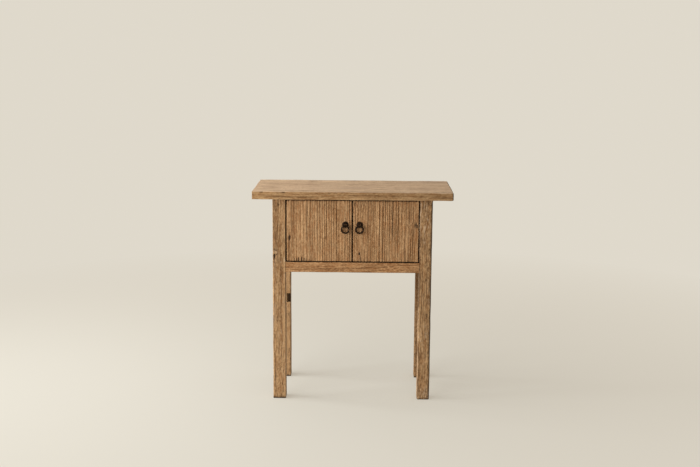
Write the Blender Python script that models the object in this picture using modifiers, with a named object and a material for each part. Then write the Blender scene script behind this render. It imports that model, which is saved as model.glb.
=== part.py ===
"""Console table with a two-door cupboard under its top, in old solid wood with iron ring pulls.

Metres, +Z up. +X is to the right of someone who faces the doors, and +Y is away from them.
The origin is on the floor, under the middle of the top.
"""

import math

import bmesh
import bpy
from mathutils import Matrix, Vector

# Clearance between pieces that touch, play of a pin that turns, and how far a cutter runs past a face
FIT = 0.0003
TURNING_FIT = 0.0004
PASS = 0.002

# Top
TOP_WIDTH = 0.822
TOP_DEPTH = 0.373
TOP_THICKNESS = 0.0335
TABLE_HEIGHT = 0.880
FRONT_BOARD_DEPTH = 0.232
TOP_EDGE_ROUND = 0.004
END_OVERHANG = 0.083
FRONT_OVERHANG = 0.010
BACK_OVERHANG = 0.006
SPLINE_THICKNESS = 0.006
SPLINE_WIDTH = 0.020
SPLINE_END = 0.040
TOP_BATTEN_WIDTH = 0.040
TOP_BATTEN_THICKNESS = 0.020
TOP_BATTEN_SPACING = 0.280
SCREW_RADIUS = 0.0022
SCREW_HEAD_RADIUS = 0.0045
SCREW_HEAD_HEIGHT = 0.003
SCREW_BITE = 0.014
SCREW_FROM_END = 0.040

# Legs
LEG_SIDE = 0.0535
LEG_EDGE_ROUND = 0.004
LEG_TENON_SIDE = 0.026
LEG_TENON_HEIGHT = 0.018
OLD_NOTCH_HEIGHT = 0.039
OLD_NOTCH_WIDTH = 0.0175
OLD_NOTCH_DEPTH = 0.012
OLD_NOTCH_FLOOR = 0.342

# Rails
RAIL_CLEAR_HEIGHT = 0.5435
LOWER_RAIL_HEIGHT = 0.0435
UPPER_RAIL_HEIGHT = 0.035
UPPER_RAIL_THICKNESS = 0.030
FRONT_UPPER_RAIL_THICKNESS = 0.022
FRONT_RAIL_SETBACK = 0.003
RAIL_SETBACK = 0.004
RAIL_EDGE_ROUND = 0.002
TENON_THICKNESS = 0.012
SIDE_TENON_LENGTH = 0.024
TENON_SHOULDER = 0.002
TENON_WALL = 0.006
FRONT_TENON_FROM_FACE = 0.014

# Panels in grooves
GROOVE_DEPTH = 0.008
SIDE_PANEL_THICKNESS = 0.012
SIDE_PANEL_SETBACK = 0.013
BACK_BOARD_THICKNESS = 0.010
BACK_BOARD_SETBACK = 0.014
BACK_BOARD_NAMES = ("left", "middle", "right")
FLOOR_THICKNESS = 0.014
FLOOR_DROP = 0.006
FLOOR_BOARD_NAMES = ("front", "middle", "back")
BOARD_EDGE_ROUND = 0.001

# Doors
DOOR_THICKNESS = 0.022
DOOR_SETBACK = 0.001
DOOR_SIDE_GAP = 0.0035
DOOR_MIDDLE_GAP = 0.003
DOOR_TOP_GAP = 0.003
DOOR_BOTTOM_GAP = 0.003
DOOR_EDGE_ROUND = 0.003
HINGE_EDGE_ROUND = 0.006
PIVOT_RADIUS = 0.004
PIVOT_FROM_EDGE = 0.012
PIVOT_FROM_FACE = 0.011
PIVOT_IN_DOOR = 0.018
PIVOT_IN_FRAME = 0.010
SWING_ROOM = 0.008
DOOR_STOP_LENGTH = 0.180
DOOR_STOP_HEIGHT = 0.022
DOOR_BATTEN_HEIGHT = 0.028
DOOR_BATTEN_THICKNESS = 0.014
DOOR_BATTEN_INSET = 0.030
UPPER_BATTEN_DROP = 0.046
LOWER_BATTEN_RISE = 0.028
NAIL_RADIUS = 0.0015
NAIL_HEAD_RADIUS = 0.004
NAIL_HEAD_HEIGHT = 0.0015
NAIL_BITE = 0.010
NAIL_FROM_END = 0.030

# Ring pulls
PULL_FROM_EDGE = 0.0275
PULL_DROP = 0.0995
ROSETTE_RADIUS = 0.0135
ROSETTE_BORE = 0.0055
ROSETTE_HEIGHT = 0.0032
ROSETTE_RIM = 0.0010
EYE_WIRE_RADIUS = 0.0016
EYE_LOOP_RADIUS = 0.0085
EYE_REACH = 0.0118
EYE_SHANK_GAP = 0.0006
EYE_BEND_RADIUS = 0.0032
EYE_HOLE_PLAY = 0.0013
PRONG_LENGTH = 0.020
RING_RADIUS = 0.0148
RING_WIRE_RADIUS = 0.0033

# Faces of the round pieces
PIN_SIDES = 24
BORE_SIDES = 24
FASTENER_SIDES = 10
ROSETTE_STEPS = 32
DOME_POINTS = 6
LOOP_POINTS = 18
BEND_POINTS = 4
RING_STEPS = 36
RING_WIRE_SIDES = 10
ROUNDING_STEPS = 2
SHARP_ANGLE = math.radians(40)
MERGE_DISTANCE = 0.00001

# Levels and planes that several pieces share
TOP_UNDERSIDE = TABLE_HEIGHT - TOP_THICKNESS
FRAME_TOP = TOP_UNDERSIDE - FIT
TOP_FRONT = -TOP_DEPTH / 2
TOP_BACK = TOP_DEPTH / 2
BOARD_JOINT = TOP_FRONT + FRONT_BOARD_DEPTH
LEG_OUTSIDE = TOP_WIDTH / 2 - END_OVERHANG
LEG_INSIDE = LEG_OUTSIDE - LEG_SIDE
FRONT_FACE = TOP_FRONT + FRONT_OVERHANG
BACK_FACE = TOP_BACK - BACK_OVERHANG
FRONT_LEG_BACK = FRONT_FACE + LEG_SIDE
BACK_LEG_FRONT = BACK_FACE - LEG_SIDE
LOWER_RAIL_TOP = RAIL_CLEAR_HEIGHT + LOWER_RAIL_HEIGHT
UPPER_RAIL_BOTTOM = FRAME_TOP - UPPER_RAIL_HEIGHT
PANEL_BOTTOM = LOWER_RAIL_TOP - GROOVE_DEPTH + FIT
PANEL_TOP = UPPER_RAIL_BOTTOM + GROOVE_DEPTH - FIT
FLOOR_TOP = LOWER_RAIL_TOP - FLOOR_DROP
SIDE_RAIL_MIDDLE = LEG_OUTSIDE - RAIL_SETBACK - UPPER_RAIL_THICKNESS / 2
BACK_RAIL_MIDDLE = BACK_FACE - RAIL_SETBACK - UPPER_RAIL_THICKNESS / 2
CROSS_TENON_END = SIDE_RAIL_MIDDLE - TENON_THICKNESS / 2 - TENON_WALL
DOOR_FRONT = FRONT_FACE + DOOR_SETBACK
DOOR_BACK = DOOR_FRONT + DOOR_THICKNESS
DOOR_BOTTOM = LOWER_RAIL_TOP + DOOR_BOTTOM_GAP
DOOR_TOP = TOP_UNDERSIDE - DOOR_TOP_GAP
DOOR_OUTER = LEG_INSIDE - DOOR_SIDE_GAP
DOOR_INNER = DOOR_MIDDLE_GAP / 2
PIVOT_X = DOOR_OUTER - PIVOT_FROM_EDGE
PIVOT_Y = DOOR_FRONT + PIVOT_FROM_FACE
FRONT_UPPER_RAIL_FRONT = DOOR_BACK + SWING_ROOM
FRONT_UPPER_RAIL_BACK = FRONT_UPPER_RAIL_FRONT + FRONT_UPPER_RAIL_THICKNESS
BACK_UPPER_RAIL_FRONT = BACK_RAIL_MIDDLE - UPPER_RAIL_THICKNESS / 2
PULL_X = DOOR_INNER + PULL_FROM_EDGE
PULL_Z = DOOR_TOP - PULL_DROP
EYE_SHANK_OFFSET = EYE_WIRE_RADIUS + EYE_SHANK_GAP / 2
EYE_HOLE_RADIUS = EYE_SHANK_OFFSET + EYE_WIRE_RADIUS + EYE_HOLE_PLAY
RING_PIVOT_Y = DOOR_FRONT - EYE_REACH
RING_PIVOT_Z = PULL_Z - (EYE_LOOP_RADIUS - EYE_WIRE_RADIUS - RING_WIRE_RADIUS - FIT)


def clear_scene():
    for obj in list(bpy.data.objects):
        bpy.data.objects.remove(obj, do_unlink=True)


def add_collection(name):
    collection = bpy.data.collections.new(name)
    bpy.context.scene.collection.children.link(collection)
    return collection


def add_finish(name, colour, roughness, metallic=0.0):
    material = bpy.data.materials.new(name)
    material.use_nodes = True
    shader = material.node_tree.nodes["Principled BSDF"]
    shader.inputs["Base Color"].default_value = (*colour, 1.0)
    shader.inputs["Roughness"].default_value = roughness
    shader.inputs["Metallic"].default_value = metallic
    return material


clear_scene()
TABLE = add_collection("console_table")
CUTTERS = add_collection("cutters")
TOP_WOOD = add_finish("top_wood", (0.42, 0.29, 0.17), 0.55)
LEG_WOOD = add_finish("leg_wood", (0.32, 0.185, 0.09), 0.65)
RAIL_WOOD = add_finish("rail_wood", (0.33, 0.17, 0.08), 0.62)
DOOR_WOOD = add_finish("door_wood", (0.31, 0.175, 0.085), 0.66)
PANEL_WOOD = add_finish("panel_wood", (0.28, 0.16, 0.08), 0.70)
PIN_WOOD = add_finish("pin_wood", (0.20, 0.11, 0.05), 0.60)
IRON = add_finish("dark_iron", (0.022, 0.020, 0.019), 0.48, 0.85)
STEEL = add_finish("screw_steel", (0.33, 0.31, 0.29), 0.45, 0.9)


def box_matrix(low, high, origin):
    low, high = Vector(low), Vector(high)
    size = high - low
    return Matrix.Translation((low + high) / 2 - Vector(origin)) @ Matrix.Diagonal((*size, 1.0))


def add_box(shape, low, high, origin):
    bmesh.ops.create_cube(shape, size=1.0, matrix=box_matrix(low, high, origin))


def add_cylinder(shape, start, end, radius, sides, origin):
    start, end = Vector(start), Vector(end)
    along = end - start
    place = Matrix.Translation((start + end) / 2 - Vector(origin))
    turn = along.to_track_quat("Z", "Y").to_matrix().to_4x4()
    bmesh.ops.create_cone(
        shape,
        cap_ends=True,
        segments=sides,
        radius1=radius,
        radius2=radius,
        depth=along.length,
        matrix=place @ turn,
    )


def to_mesh(shape, name):
    mesh = bpy.data.meshes.new(name)
    shape.to_mesh(mesh)
    shape.free()
    return mesh


def add_part(name, data, finish, origin, parent=None):
    """Puts an object at a world position, under the empty given."""
    obj = bpy.data.objects.new(name, data)
    TABLE.objects.link(obj)
    data.materials.append(finish)
    obj.location = Vector(origin)
    if parent:
        obj.parent = parent
        obj.location = Vector(origin) - parent.location
    return obj


def add_helper(name, boxes, bores, origin, parent):
    """Boxes as (low, high) and bores as (start, end, radius), in one hidden mesh."""
    shape = bmesh.new()
    for low, high in boxes:
        add_box(shape, low, high, origin)
    for start, end, radius in bores:
        add_cylinder(shape, start, end, radius, BORE_SIDES, origin)
    obj = bpy.data.objects.new(name, to_mesh(shape, name))
    CUTTERS.objects.link(obj)
    obj.location = Vector(origin)
    if parent:
        obj.parent = parent
        obj.location = Vector(origin) - parent.location
    obj.hide_render = True
    obj.display_type = "WIRE"
    return obj


def add_boolean(obj, helper, operation):
    modifier = obj.modifiers.new(operation.lower(), "BOOLEAN")
    modifier.operation = operation
    modifier.solver = "EXACT"
    modifier.use_self = True
    modifier.object = helper


def wood_piece(
    name,
    low,
    high,
    finish,
    rounding,
    tongues=(),
    pockets=(),
    bores=(),
    square=None,
    deeper=None,
    parent=None,
):
    """A squared piece of wood with rounded edges, tongues or tenons added to it, and pockets cut from it.

    Edges for which square(middle of the edge) is true stay sharp.
    Those for which deeper(middle of the edge) is true take the hinge edge's larger rounding.
    """
    origin = (Vector(low) + Vector(high)) / 2
    shape = bmesh.new()
    add_box(shape, low, high, origin)

    def middle(edge):
        return (edge.verts[0].co + edge.verts[1].co) / 2 + origin

    large = [edge for edge in shape.edges if deeper and deeper(middle(edge))]
    small = [edge for edge in shape.edges if edge not in large and not (square and square(middle(edge)))]
    if large:
        round_edges(shape, large, HINGE_EDGE_ROUND, 2 * ROUNDING_STEPS)
        small = [edge for edge in small if edge.is_valid]
    round_edges(shape, small, rounding, ROUNDING_STEPS)
    obj = add_part(name, to_mesh(shape, name), finish, origin, parent)
    if tongues:
        add_boolean(obj, add_helper(name + "_tongues", tongues, (), origin, parent), "UNION")
    if pockets or bores:
        add_boolean(obj, add_helper(name + "_pockets", pockets, bores, origin, parent), "DIFFERENCE")
    return obj


def round_edges(shape, edges, radius, steps):
    bmesh.ops.bevel(
        shape,
        geom=edges,
        offset=radius,
        offset_type="OFFSET",
        segments=steps,
        profile=0.5,
        affect="EDGES",
        clamp_overlap=True,
    )


def grown(box, by):
    """The box with every face moved outwards, for the pocket that takes it."""
    low, high = box
    return Vector(low) - Vector((by, by, by)), Vector(high) + Vector((by, by, by))


def mirrored(side, low, high):
    """A box given for the right-hand side, on the side given: 1 is right and -1 is left."""
    if side > 0:
        return Vector(low), Vector(high)
    return Vector((-high[0], low[1], low[2])), Vector((-low[0], high[1], high[2]))


def leg_tenon(x, y):
    half = LEG_TENON_SIDE / 2
    low = (x - half, y - half, FRAME_TOP - PASS)
    high = (x + half, y + half, TOP_UNDERSIDE + LEG_TENON_HEIGHT - FIT)
    return Vector(low), Vector(high)


def cross_tenon(side, middle_y, bottom, top):
    """The tenon at one end of a rail that runs across the table."""
    low = (LEG_INSIDE - PASS, middle_y - TENON_THICKNESS / 2, bottom)
    high = (CROSS_TENON_END, middle_y + TENON_THICKNESS / 2, top)
    return mirrored(side, low, high)


def side_tenon(side, is_front, bottom, top):
    """The tenon at one end of a rail that runs from front to back."""
    if is_front:
        start, end = FRONT_LEG_BACK - SIDE_TENON_LENGTH, FRONT_LEG_BACK + PASS
    else:
        start, end = BACK_LEG_FRONT - PASS, BACK_LEG_FRONT + SIDE_TENON_LENGTH
    low = (SIDE_RAIL_MIDDLE - TENON_THICKNESS / 2, start, bottom)
    high = (SIDE_RAIL_MIDDLE + TENON_THICKNESS / 2, end, top)
    return mirrored(side, low, high)


LOWER_TENON = (
    RAIL_CLEAR_HEIGHT + GROOVE_DEPTH + TENON_SHOULDER,
    LOWER_RAIL_TOP - GROOVE_DEPTH - TENON_SHOULDER,
)
UPPER_TENON = (UPPER_RAIL_BOTTOM + GROOVE_DEPTH + TENON_SHOULDER, FRAME_TOP - TENON_SHOULDER)
FRONT_LOWER_TENON_Y = FRONT_FACE + FRONT_RAIL_SETBACK + FRONT_TENON_FROM_FACE
FRONT_UPPER_TENON_Y = (FRONT_UPPER_RAIL_FRONT + FRONT_UPPER_RAIL_BACK) / 2
LEG_X = LEG_OUTSIDE - LEG_SIDE / 2
FRONT_LEG_Y = FRONT_FACE + LEG_SIDE / 2
BACK_LEG_Y = BACK_FACE - LEG_SIDE / 2


def side_panel_box(side):
    low = (
        LEG_OUTSIDE - SIDE_PANEL_SETBACK - SIDE_PANEL_THICKNESS,
        FRONT_LEG_BACK - GROOVE_DEPTH + FIT,
        PANEL_BOTTOM,
    )
    high = (LEG_OUTSIDE - SIDE_PANEL_SETBACK, BACK_LEG_FRONT + GROOVE_DEPTH - FIT, PANEL_TOP)
    return mirrored(side, low, high)


def back_panel_box():
    """The space of the back boards together."""
    reach = LEG_INSIDE + GROOVE_DEPTH - FIT
    back = BACK_FACE - BACK_BOARD_SETBACK
    low = (-reach, back - BACK_BOARD_THICKNESS, PANEL_BOTTOM)
    return Vector(low), Vector((reach, back, PANEL_TOP))


def floor_box():
    """The space of the floor boards together."""
    reach = LEG_INSIDE + GROOVE_DEPTH - FIT
    low = (-reach, FRONT_LEG_BACK + FIT, FLOOR_TOP - FLOOR_THICKNESS)
    return Vector(low), Vector((reach, BACK_LEG_FRONT - FIT, FLOOR_TOP))


def make_legs():
    for side, side_name in ((-1, "left"), (1, "right")):
        for is_front, end_name in ((True, "front"), (False, "back")):
            y = FRONT_LEG_Y if is_front else BACK_LEG_Y
            half = LEG_SIDE / 2
            low = (side * LEG_X - half, y - half, 0.0)
            high = (side * LEG_X + half, y + half, FRAME_TOP)
            pockets = [
                grown(side_tenon(side, is_front, *LOWER_TENON), FIT),
                grown(side_tenon(side, is_front, *UPPER_TENON), FIT),
                grown(side_panel_box(side), FIT),
            ]
            if is_front:
                pockets.append(grown(cross_tenon(side, FRONT_LOWER_TENON_Y, *LOWER_TENON), FIT))
                pockets.append(grown(cross_tenon(side, FRONT_UPPER_TENON_Y, *UPPER_TENON), FIT))
            else:
                pockets.append(grown(cross_tenon(side, BACK_RAIL_MIDDLE, *LOWER_TENON), FIT))
                pockets.append(grown(cross_tenon(side, BACK_RAIL_MIDDLE, *UPPER_TENON), FIT))
                pockets.append(grown(back_panel_box(), FIT))
            if side < 0 and not is_front:
                pockets.append(old_notch())
            wood_piece(
                f"leg_{end_name}_{side_name}",
                low,
                high,
                LEG_WOOD,
                LEG_EDGE_ROUND,
                tongues=[leg_tenon(side * LEG_X, y)],
                pockets=pockets,
            )


def old_notch():
    """The mortise of a stretcher long gone, broken out at the inner front edge of the back left leg."""
    low = (-LEG_INSIDE - OLD_NOTCH_WIDTH, BACK_LEG_FRONT - PASS, OLD_NOTCH_FLOOR)
    high = (
        -LEG_INSIDE + PASS,
        BACK_LEG_FRONT + OLD_NOTCH_DEPTH,
        OLD_NOTCH_FLOOR + OLD_NOTCH_HEIGHT,
    )
    return Vector(low), Vector(high)


def make_cross_rails():
    """The four rails that run across the table, between a pair of legs."""
    reach = LEG_INSIDE - FIT
    lower_sockets = [
        ((side * PIVOT_X, PIVOT_Y, LOWER_RAIL_TOP - PIVOT_IN_FRAME - FIT),
         (side * PIVOT_X, PIVOT_Y, LOWER_RAIL_TOP + PASS),
         PIVOT_RADIUS + TURNING_FIT)
        for side in (-1, 1)
    ]
    rails = (
        ("front_lower_rail", FRONT_FACE + FRONT_RAIL_SETBACK, FRONT_LEG_BACK, FRONT_LOWER_TENON_Y, True),
        ("back_lower_rail", BACK_LEG_FRONT, BACK_FACE - RAIL_SETBACK, BACK_RAIL_MIDDLE, True),
        ("front_upper_rail", FRONT_UPPER_RAIL_FRONT, FRONT_UPPER_RAIL_BACK, FRONT_UPPER_TENON_Y, False),
        ("back_upper_rail", BACK_UPPER_RAIL_FRONT, BACK_FACE - RAIL_SETBACK, BACK_RAIL_MIDDLE, False),
    )
    for name, front, back, tenon_y, is_lower in rails:
        bottom = RAIL_CLEAR_HEIGHT if is_lower else UPPER_RAIL_BOTTOM
        top = LOWER_RAIL_TOP if is_lower else FRAME_TOP
        heights = LOWER_TENON if is_lower else UPPER_TENON
        wood_piece(
            name,
            (-reach, front, bottom),
            (reach, back, top),
            RAIL_WOOD,
            RAIL_EDGE_ROUND,
            tongues=[cross_tenon(side, tenon_y, *heights) for side in (-1, 1)],
            pockets=[grown(back_panel_box(), FIT)] if name.startswith("back") else (),
            bores=lower_sockets if name == "front_lower_rail" else (),
        )


def make_side_rails():
    """The four rails that run from a front leg to a back leg."""
    for side, side_name in ((-1, "left"), (1, "right")):
        outside = LEG_OUTSIDE - RAIL_SETBACK
        start, end = FRONT_LEG_BACK + FIT, BACK_LEG_FRONT - FIT
        lower = mirrored(side, (LEG_INSIDE, start, RAIL_CLEAR_HEIGHT), (outside, end, LOWER_RAIL_TOP))
        inside = outside - UPPER_RAIL_THICKNESS
        upper = mirrored(side, (inside, start, UPPER_RAIL_BOTTOM), (outside, end, FRAME_TOP))
        panel_groove = grown(side_panel_box(side), FIT)
        wood_piece(
            f"{side_name}_lower_rail",
            *lower,
            RAIL_WOOD,
            RAIL_EDGE_ROUND,
            tongues=[side_tenon(side, is_front, *LOWER_TENON) for is_front in (True, False)],
            pockets=[panel_groove, floor_groove()],
        )
        wood_piece(
            f"{side_name}_upper_rail",
            *upper,
            RAIL_WOOD,
            RAIL_EDGE_ROUND,
            tongues=[side_tenon(side, is_front, *UPPER_TENON) for is_front in (True, False)],
            pockets=[panel_groove],
        )


def floor_groove():
    """The floor boards' space with its clearance, run out past both ends of the side rails."""
    low, high = grown(floor_box(), FIT)
    return low - Vector((0.0, PASS, 0.0)), high + Vector((0.0, PASS, 0.0))


def split_boards(prefix, names, box, axis, finish):
    """Boards edge to edge that share out a box along one axis."""
    low, high = box
    step = (high[axis] - low[axis] + FIT) / len(names)
    for index, name in enumerate(names):
        start, end = low.copy(), high.copy()
        start[axis] = low[axis] + index * step
        end[axis] = start[axis] + step - FIT
        wood_piece(f"{prefix}_{name}", start, end, finish, BOARD_EDGE_ROUND)


def make_panels():
    for side, side_name in ((-1, "left"), (1, "right")):
        wood_piece(f"{side_name}_side_panel", *side_panel_box(side), PANEL_WOOD, BOARD_EDGE_ROUND)
    split_boards("back_board", BACK_BOARD_NAMES, back_panel_box(), 0, PANEL_WOOD)
    split_boards("floor_board", FLOOR_BOARD_NAMES, floor_box(), 1, PANEL_WOOD)


BATTEN_FRONT = FRONT_UPPER_RAIL_BACK + FIT
BATTEN_BACK = BACK_UPPER_RAIL_FRONT - FIT
BATTEN_BOTTOM = FRAME_TOP - TOP_BATTEN_THICKNESS
SCREW_TIP = TOP_UNDERSIDE + SCREW_BITE
SPLINE_MIDDLE = TOP_UNDERSIDE + TOP_THICKNESS / 2


def screw_places():
    """Where the screws stand: one in each top board, through each batten."""
    rows = (BATTEN_FRONT + SCREW_FROM_END, BATTEN_BACK - SCREW_FROM_END)
    return [(side * TOP_BATTEN_SPACING / 2, y) for side in (-1, 1) for y in rows]


def screw_bore(x, y):
    return (x, y, BATTEN_BOTTOM - PASS), (x, y, SCREW_TIP + FIT), SCREW_RADIUS + FIT


def spline_box():
    half_width = SPLINE_WIDTH / 2
    half_thickness = SPLINE_THICKNESS / 2
    reach = TOP_WIDTH / 2 - SPLINE_END
    middle = BOARD_JOINT + FIT / 2
    low = (-reach, middle - half_width, SPLINE_MIDDLE - half_thickness)
    return Vector(low), Vector((reach, middle + half_width, SPLINE_MIDDLE + half_thickness))


def make_top():
    half = TOP_WIDTH / 2
    screws = screw_places()
    sockets = [
        ((side * PIVOT_X, PIVOT_Y, TOP_UNDERSIDE - PASS),
         (side * PIVOT_X, PIVOT_Y, TOP_UNDERSIDE + PIVOT_IN_FRAME + FIT),
         PIVOT_RADIUS + TURNING_FIT)
        for side in (-1, 1)
    ]
    boards = (
        ("top_board_front", TOP_FRONT, BOARD_JOINT, FRONT_LEG_Y, sockets),
        ("top_board_back", BOARD_JOINT + FIT, TOP_BACK, BACK_LEG_Y, []),
    )
    for name, front, back, leg_y, extra_bores in boards:
        pockets = [grown(leg_tenon(side * LEG_X, leg_y), FIT) for side in (-1, 1)]
        pockets.append(grown(spline_box(), FIT))
        bores = [screw_bore(x, y) for x, y in screws if front < y < back]
        wood_piece(
            name,
            (-half, front, TOP_UNDERSIDE),
            (half, back, TABLE_HEIGHT),
            TOP_WOOD,
            TOP_EDGE_ROUND,
            pockets=pockets,
            bores=bores + extra_bores,
            square=lambda point: abs(point.y - BOARD_JOINT) < PASS,
        )
    wood_piece("top_spline", *spline_box(), PANEL_WOOD, BOARD_EDGE_ROUND)
    for side, side_name in ((-1, "left"), (1, "right")):
        x = side * TOP_BATTEN_SPACING / 2
        wood_piece(
            f"top_batten_{side_name}",
            (x - TOP_BATTEN_WIDTH / 2, BATTEN_FRONT, BATTEN_BOTTOM),
            (x + TOP_BATTEN_WIDTH / 2, BATTEN_BACK, FRAME_TOP),
            RAIL_WOOD,
            BOARD_EDGE_ROUND,
            bores=[screw_bore(*place) for place in screws if place[0] == x],
        )
    for index, (x, y) in enumerate(screws, start=1):
        make_fastener(
            f"top_batten_screw_{index}",
            (x, y, BATTEN_BOTTOM),
            (0.0, 0.0, 1.0),
            SCREW_RADIUS,
            SCREW_TIP - BATTEN_BOTTOM,
            SCREW_HEAD_RADIUS,
            SCREW_HEAD_HEIGHT,
            STEEL,
        )


def make_fastener(name, seat, direction, radius, length, head_radius, head_height, finish, parent=None):
    """A screw or nail driven from its seat point in the direction given.

    Its turned profile runs from the blunt tip down the shank to the shoulder and the domed head.
    """
    profile = [
        (0.0, length),
        (radius, length - radius),
        (radius, -FIT),
        (head_radius, -FIT),
        (head_radius, -FIT - head_height / 2),
        (head_radius / 2, -FIT - head_height),
        (0.0, -FIT - head_height),
    ]
    fastener = turned_piece(name, profile, FASTENER_SIDES, finish, seat, parent)
    fastener.rotation_mode = "QUATERNION"
    fastener.rotation_quaternion = Vector(direction).to_track_quat("Z", "Y")


def turned_piece(name, profile, steps, finish, origin, parent, is_ring=False):
    """A profile of (radius, height) points turned about the object's Z axis."""
    shape = bmesh.new()
    points = [shape.verts.new((radius, 0.0, height)) for radius, height in profile]
    for start, end in zip(points, points[1:] + points[:1] if is_ring else points[1:]):
        shape.edges.new((start, end))
    piece = add_part(name, to_mesh(shape, name), finish, origin, parent)
    screw = piece.modifiers.new("turn", "SCREW")
    screw.steps = steps
    screw.render_steps = steps
    screw.use_merge_vertices = True
    screw.merge_threshold = MERGE_DISTANCE
    screw.use_smooth_shade = True
    return piece


def make_door_stop():
    middle = (UPPER_RAIL_BOTTOM + FRAME_TOP) / 2
    half = DOOR_STOP_HEIGHT / 2
    wood_piece(
        "door_stop",
        (-DOOR_STOP_LENGTH / 2, DOOR_BACK + FIT, middle - half),
        (DOOR_STOP_LENGTH / 2, FRONT_UPPER_RAIL_FRONT - FIT, middle + half),
        RAIL_WOOD,
        BOARD_EDGE_ROUND,
    )


def add_empty(name, location):
    empty = bpy.data.objects.new(name, None)
    TABLE.objects.link(empty)
    empty.location = Vector(location)
    return empty


def make_door(side, side_name):
    """One plank door with its battens, nails, pivot pins and ring pull, hung on its pivot axis."""
    axis = add_empty(f"{side_name}_door_axis", (side * PIVOT_X, PIVOT_Y, DOOR_BOTTOM))
    pull_x = side * PULL_X
    battens = door_batten_boxes(side)
    seats = [seat for batten in battens for seat in nail_seats(batten)]
    bores = [
        ((side * PIVOT_X, PIVOT_Y, DOOR_BOTTOM - PASS),
         (side * PIVOT_X, PIVOT_Y, DOOR_BOTTOM + PIVOT_IN_DOOR + FIT),
         PIVOT_RADIUS + FIT),
        ((side * PIVOT_X, PIVOT_Y, DOOR_TOP - PIVOT_IN_DOOR - FIT),
         (side * PIVOT_X, PIVOT_Y, DOOR_TOP + PASS),
         PIVOT_RADIUS + FIT),
        ((pull_x, DOOR_FRONT - PASS, PULL_Z), (pull_x, DOOR_BACK + PASS, PULL_Z), EYE_HOLE_RADIUS),
    ]
    nail_bores = [
        ((x, DOOR_BACK - NAIL_BITE - FIT, z),
         (x, y + PASS, z),
         NAIL_RADIUS + FIT)
        for x, y, z in seats
    ]
    low, high = mirrored(side, (DOOR_INNER, DOOR_FRONT, DOOR_BOTTOM), (DOOR_OUTER, DOOR_BACK, DOOR_TOP))
    wood_piece(
        f"{side_name}_door_plank",
        low,
        high,
        DOOR_WOOD,
        DOOR_EDGE_ROUND,
        bores=bores + nail_bores,
        deeper=lambda point: is_hinge_edge(point, side),
        parent=axis,
    )
    for name, box in zip(("upper", "lower"), battens):
        own = [bore for bore, seat in zip(nail_bores, seats) if box[0].z < seat[2] < box[1].z]
        wood_piece(
            f"{side_name}_door_batten_{name}", *box, PANEL_WOOD, BOARD_EDGE_ROUND, bores=own, parent=axis
        )
    for index, seat in enumerate(seats, start=1):
        make_fastener(
            f"{side_name}_door_nail_{index}",
            seat,
            (0.0, -1.0, 0.0),
            NAIL_RADIUS,
            DOOR_BATTEN_THICKNESS + FIT + NAIL_BITE,
            NAIL_HEAD_RADIUS,
            NAIL_HEAD_HEIGHT,
            IRON,
            axis,
        )
    make_pivots(side, side_name, axis)
    make_pull(side_name, pull_x, axis)


def is_hinge_edge(point, side):
    upright = abs(point.z - (DOOR_BOTTOM + DOOR_TOP) / 2) < PASS
    return upright and abs(point.x - side * DOOR_OUTER) < PASS


def door_batten_boxes(side):
    """The two strips on the inside of a door, upper one first."""
    boxes = []
    upper = DOOR_TOP - UPPER_BATTEN_DROP - DOOR_BATTEN_HEIGHT
    for bottom in (upper, DOOR_BOTTOM + LOWER_BATTEN_RISE):
        low = (DOOR_INNER + DOOR_BATTEN_INSET, DOOR_BACK + FIT, bottom)
        high = (
            DOOR_OUTER - DOOR_BATTEN_INSET,
            DOOR_BACK + FIT + DOOR_BATTEN_THICKNESS,
            bottom + DOOR_BATTEN_HEIGHT,
        )
        boxes.append(mirrored(side, low, high))
    return boxes


def nail_seats(batten):
    """Points on the inside face of a batten where its nails are driven."""
    low, high = batten
    middle = (low.z + high.z) / 2
    return [(low.x + NAIL_FROM_END, high.y, middle), (high.x - NAIL_FROM_END, high.y, middle)]


def make_pivots(side, side_name, axis):
    """The two pins of a door, each half in the door's end and half in the socket that carries it."""
    x = side * PIVOT_X
    spans = (
        ("lower", LOWER_RAIL_TOP - PIVOT_IN_FRAME, DOOR_BOTTOM + PIVOT_IN_DOOR),
        ("upper", DOOR_TOP - PIVOT_IN_DOOR, TOP_UNDERSIDE + PIVOT_IN_FRAME),
    )
    for name, bottom, top in spans:
        shape = bmesh.new()
        origin = (x, PIVOT_Y, bottom)
        add_cylinder(shape, origin, (x, PIVOT_Y, top), PIVOT_RADIUS, PIN_SIDES, origin)
        pin = to_mesh(shape, f"{side_name}_door_pivot_{name}")
        shade_round(pin)
        add_part(pin.name, pin, PIN_WOOD, origin, axis)


def shade_round(mesh):
    mesh.shade_smooth()
    mesh.set_sharp_from_angle(angle=SHARP_ANGLE)


def make_pull(side_name, x, axis):
    make_rosette(side_name, x, axis)
    make_eye(side_name, x, axis)
    make_ring(side_name, x, axis)


def make_rosette(side_name, x, axis):
    """A domed washer round the eye, turned about the axis of the eye's hole."""
    name = f"{side_name}_pull_rosette"
    run = ROSETTE_RADIUS - ROSETTE_BORE
    rise = ROSETTE_HEIGHT - ROSETTE_RIM
    profile = [(ROSETTE_BORE, FIT), (ROSETTE_BORE, FIT + ROSETTE_HEIGHT)]
    for index in range(1, DOME_POINTS):
        share = index / (DOME_POINTS - 1)
        height = ROSETTE_RIM + rise * math.cos(share * math.pi / 2)
        profile.append((ROSETTE_BORE + run * share, FIT + height))
    profile.append((ROSETTE_RADIUS, FIT))
    rosette = turned_piece(name, profile, ROSETTE_STEPS, IRON, (x, DOOR_FRONT, PULL_Z), axis, is_ring=True)
    rosette.rotation_euler = (math.pi / 2, 0.0, 0.0)


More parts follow.
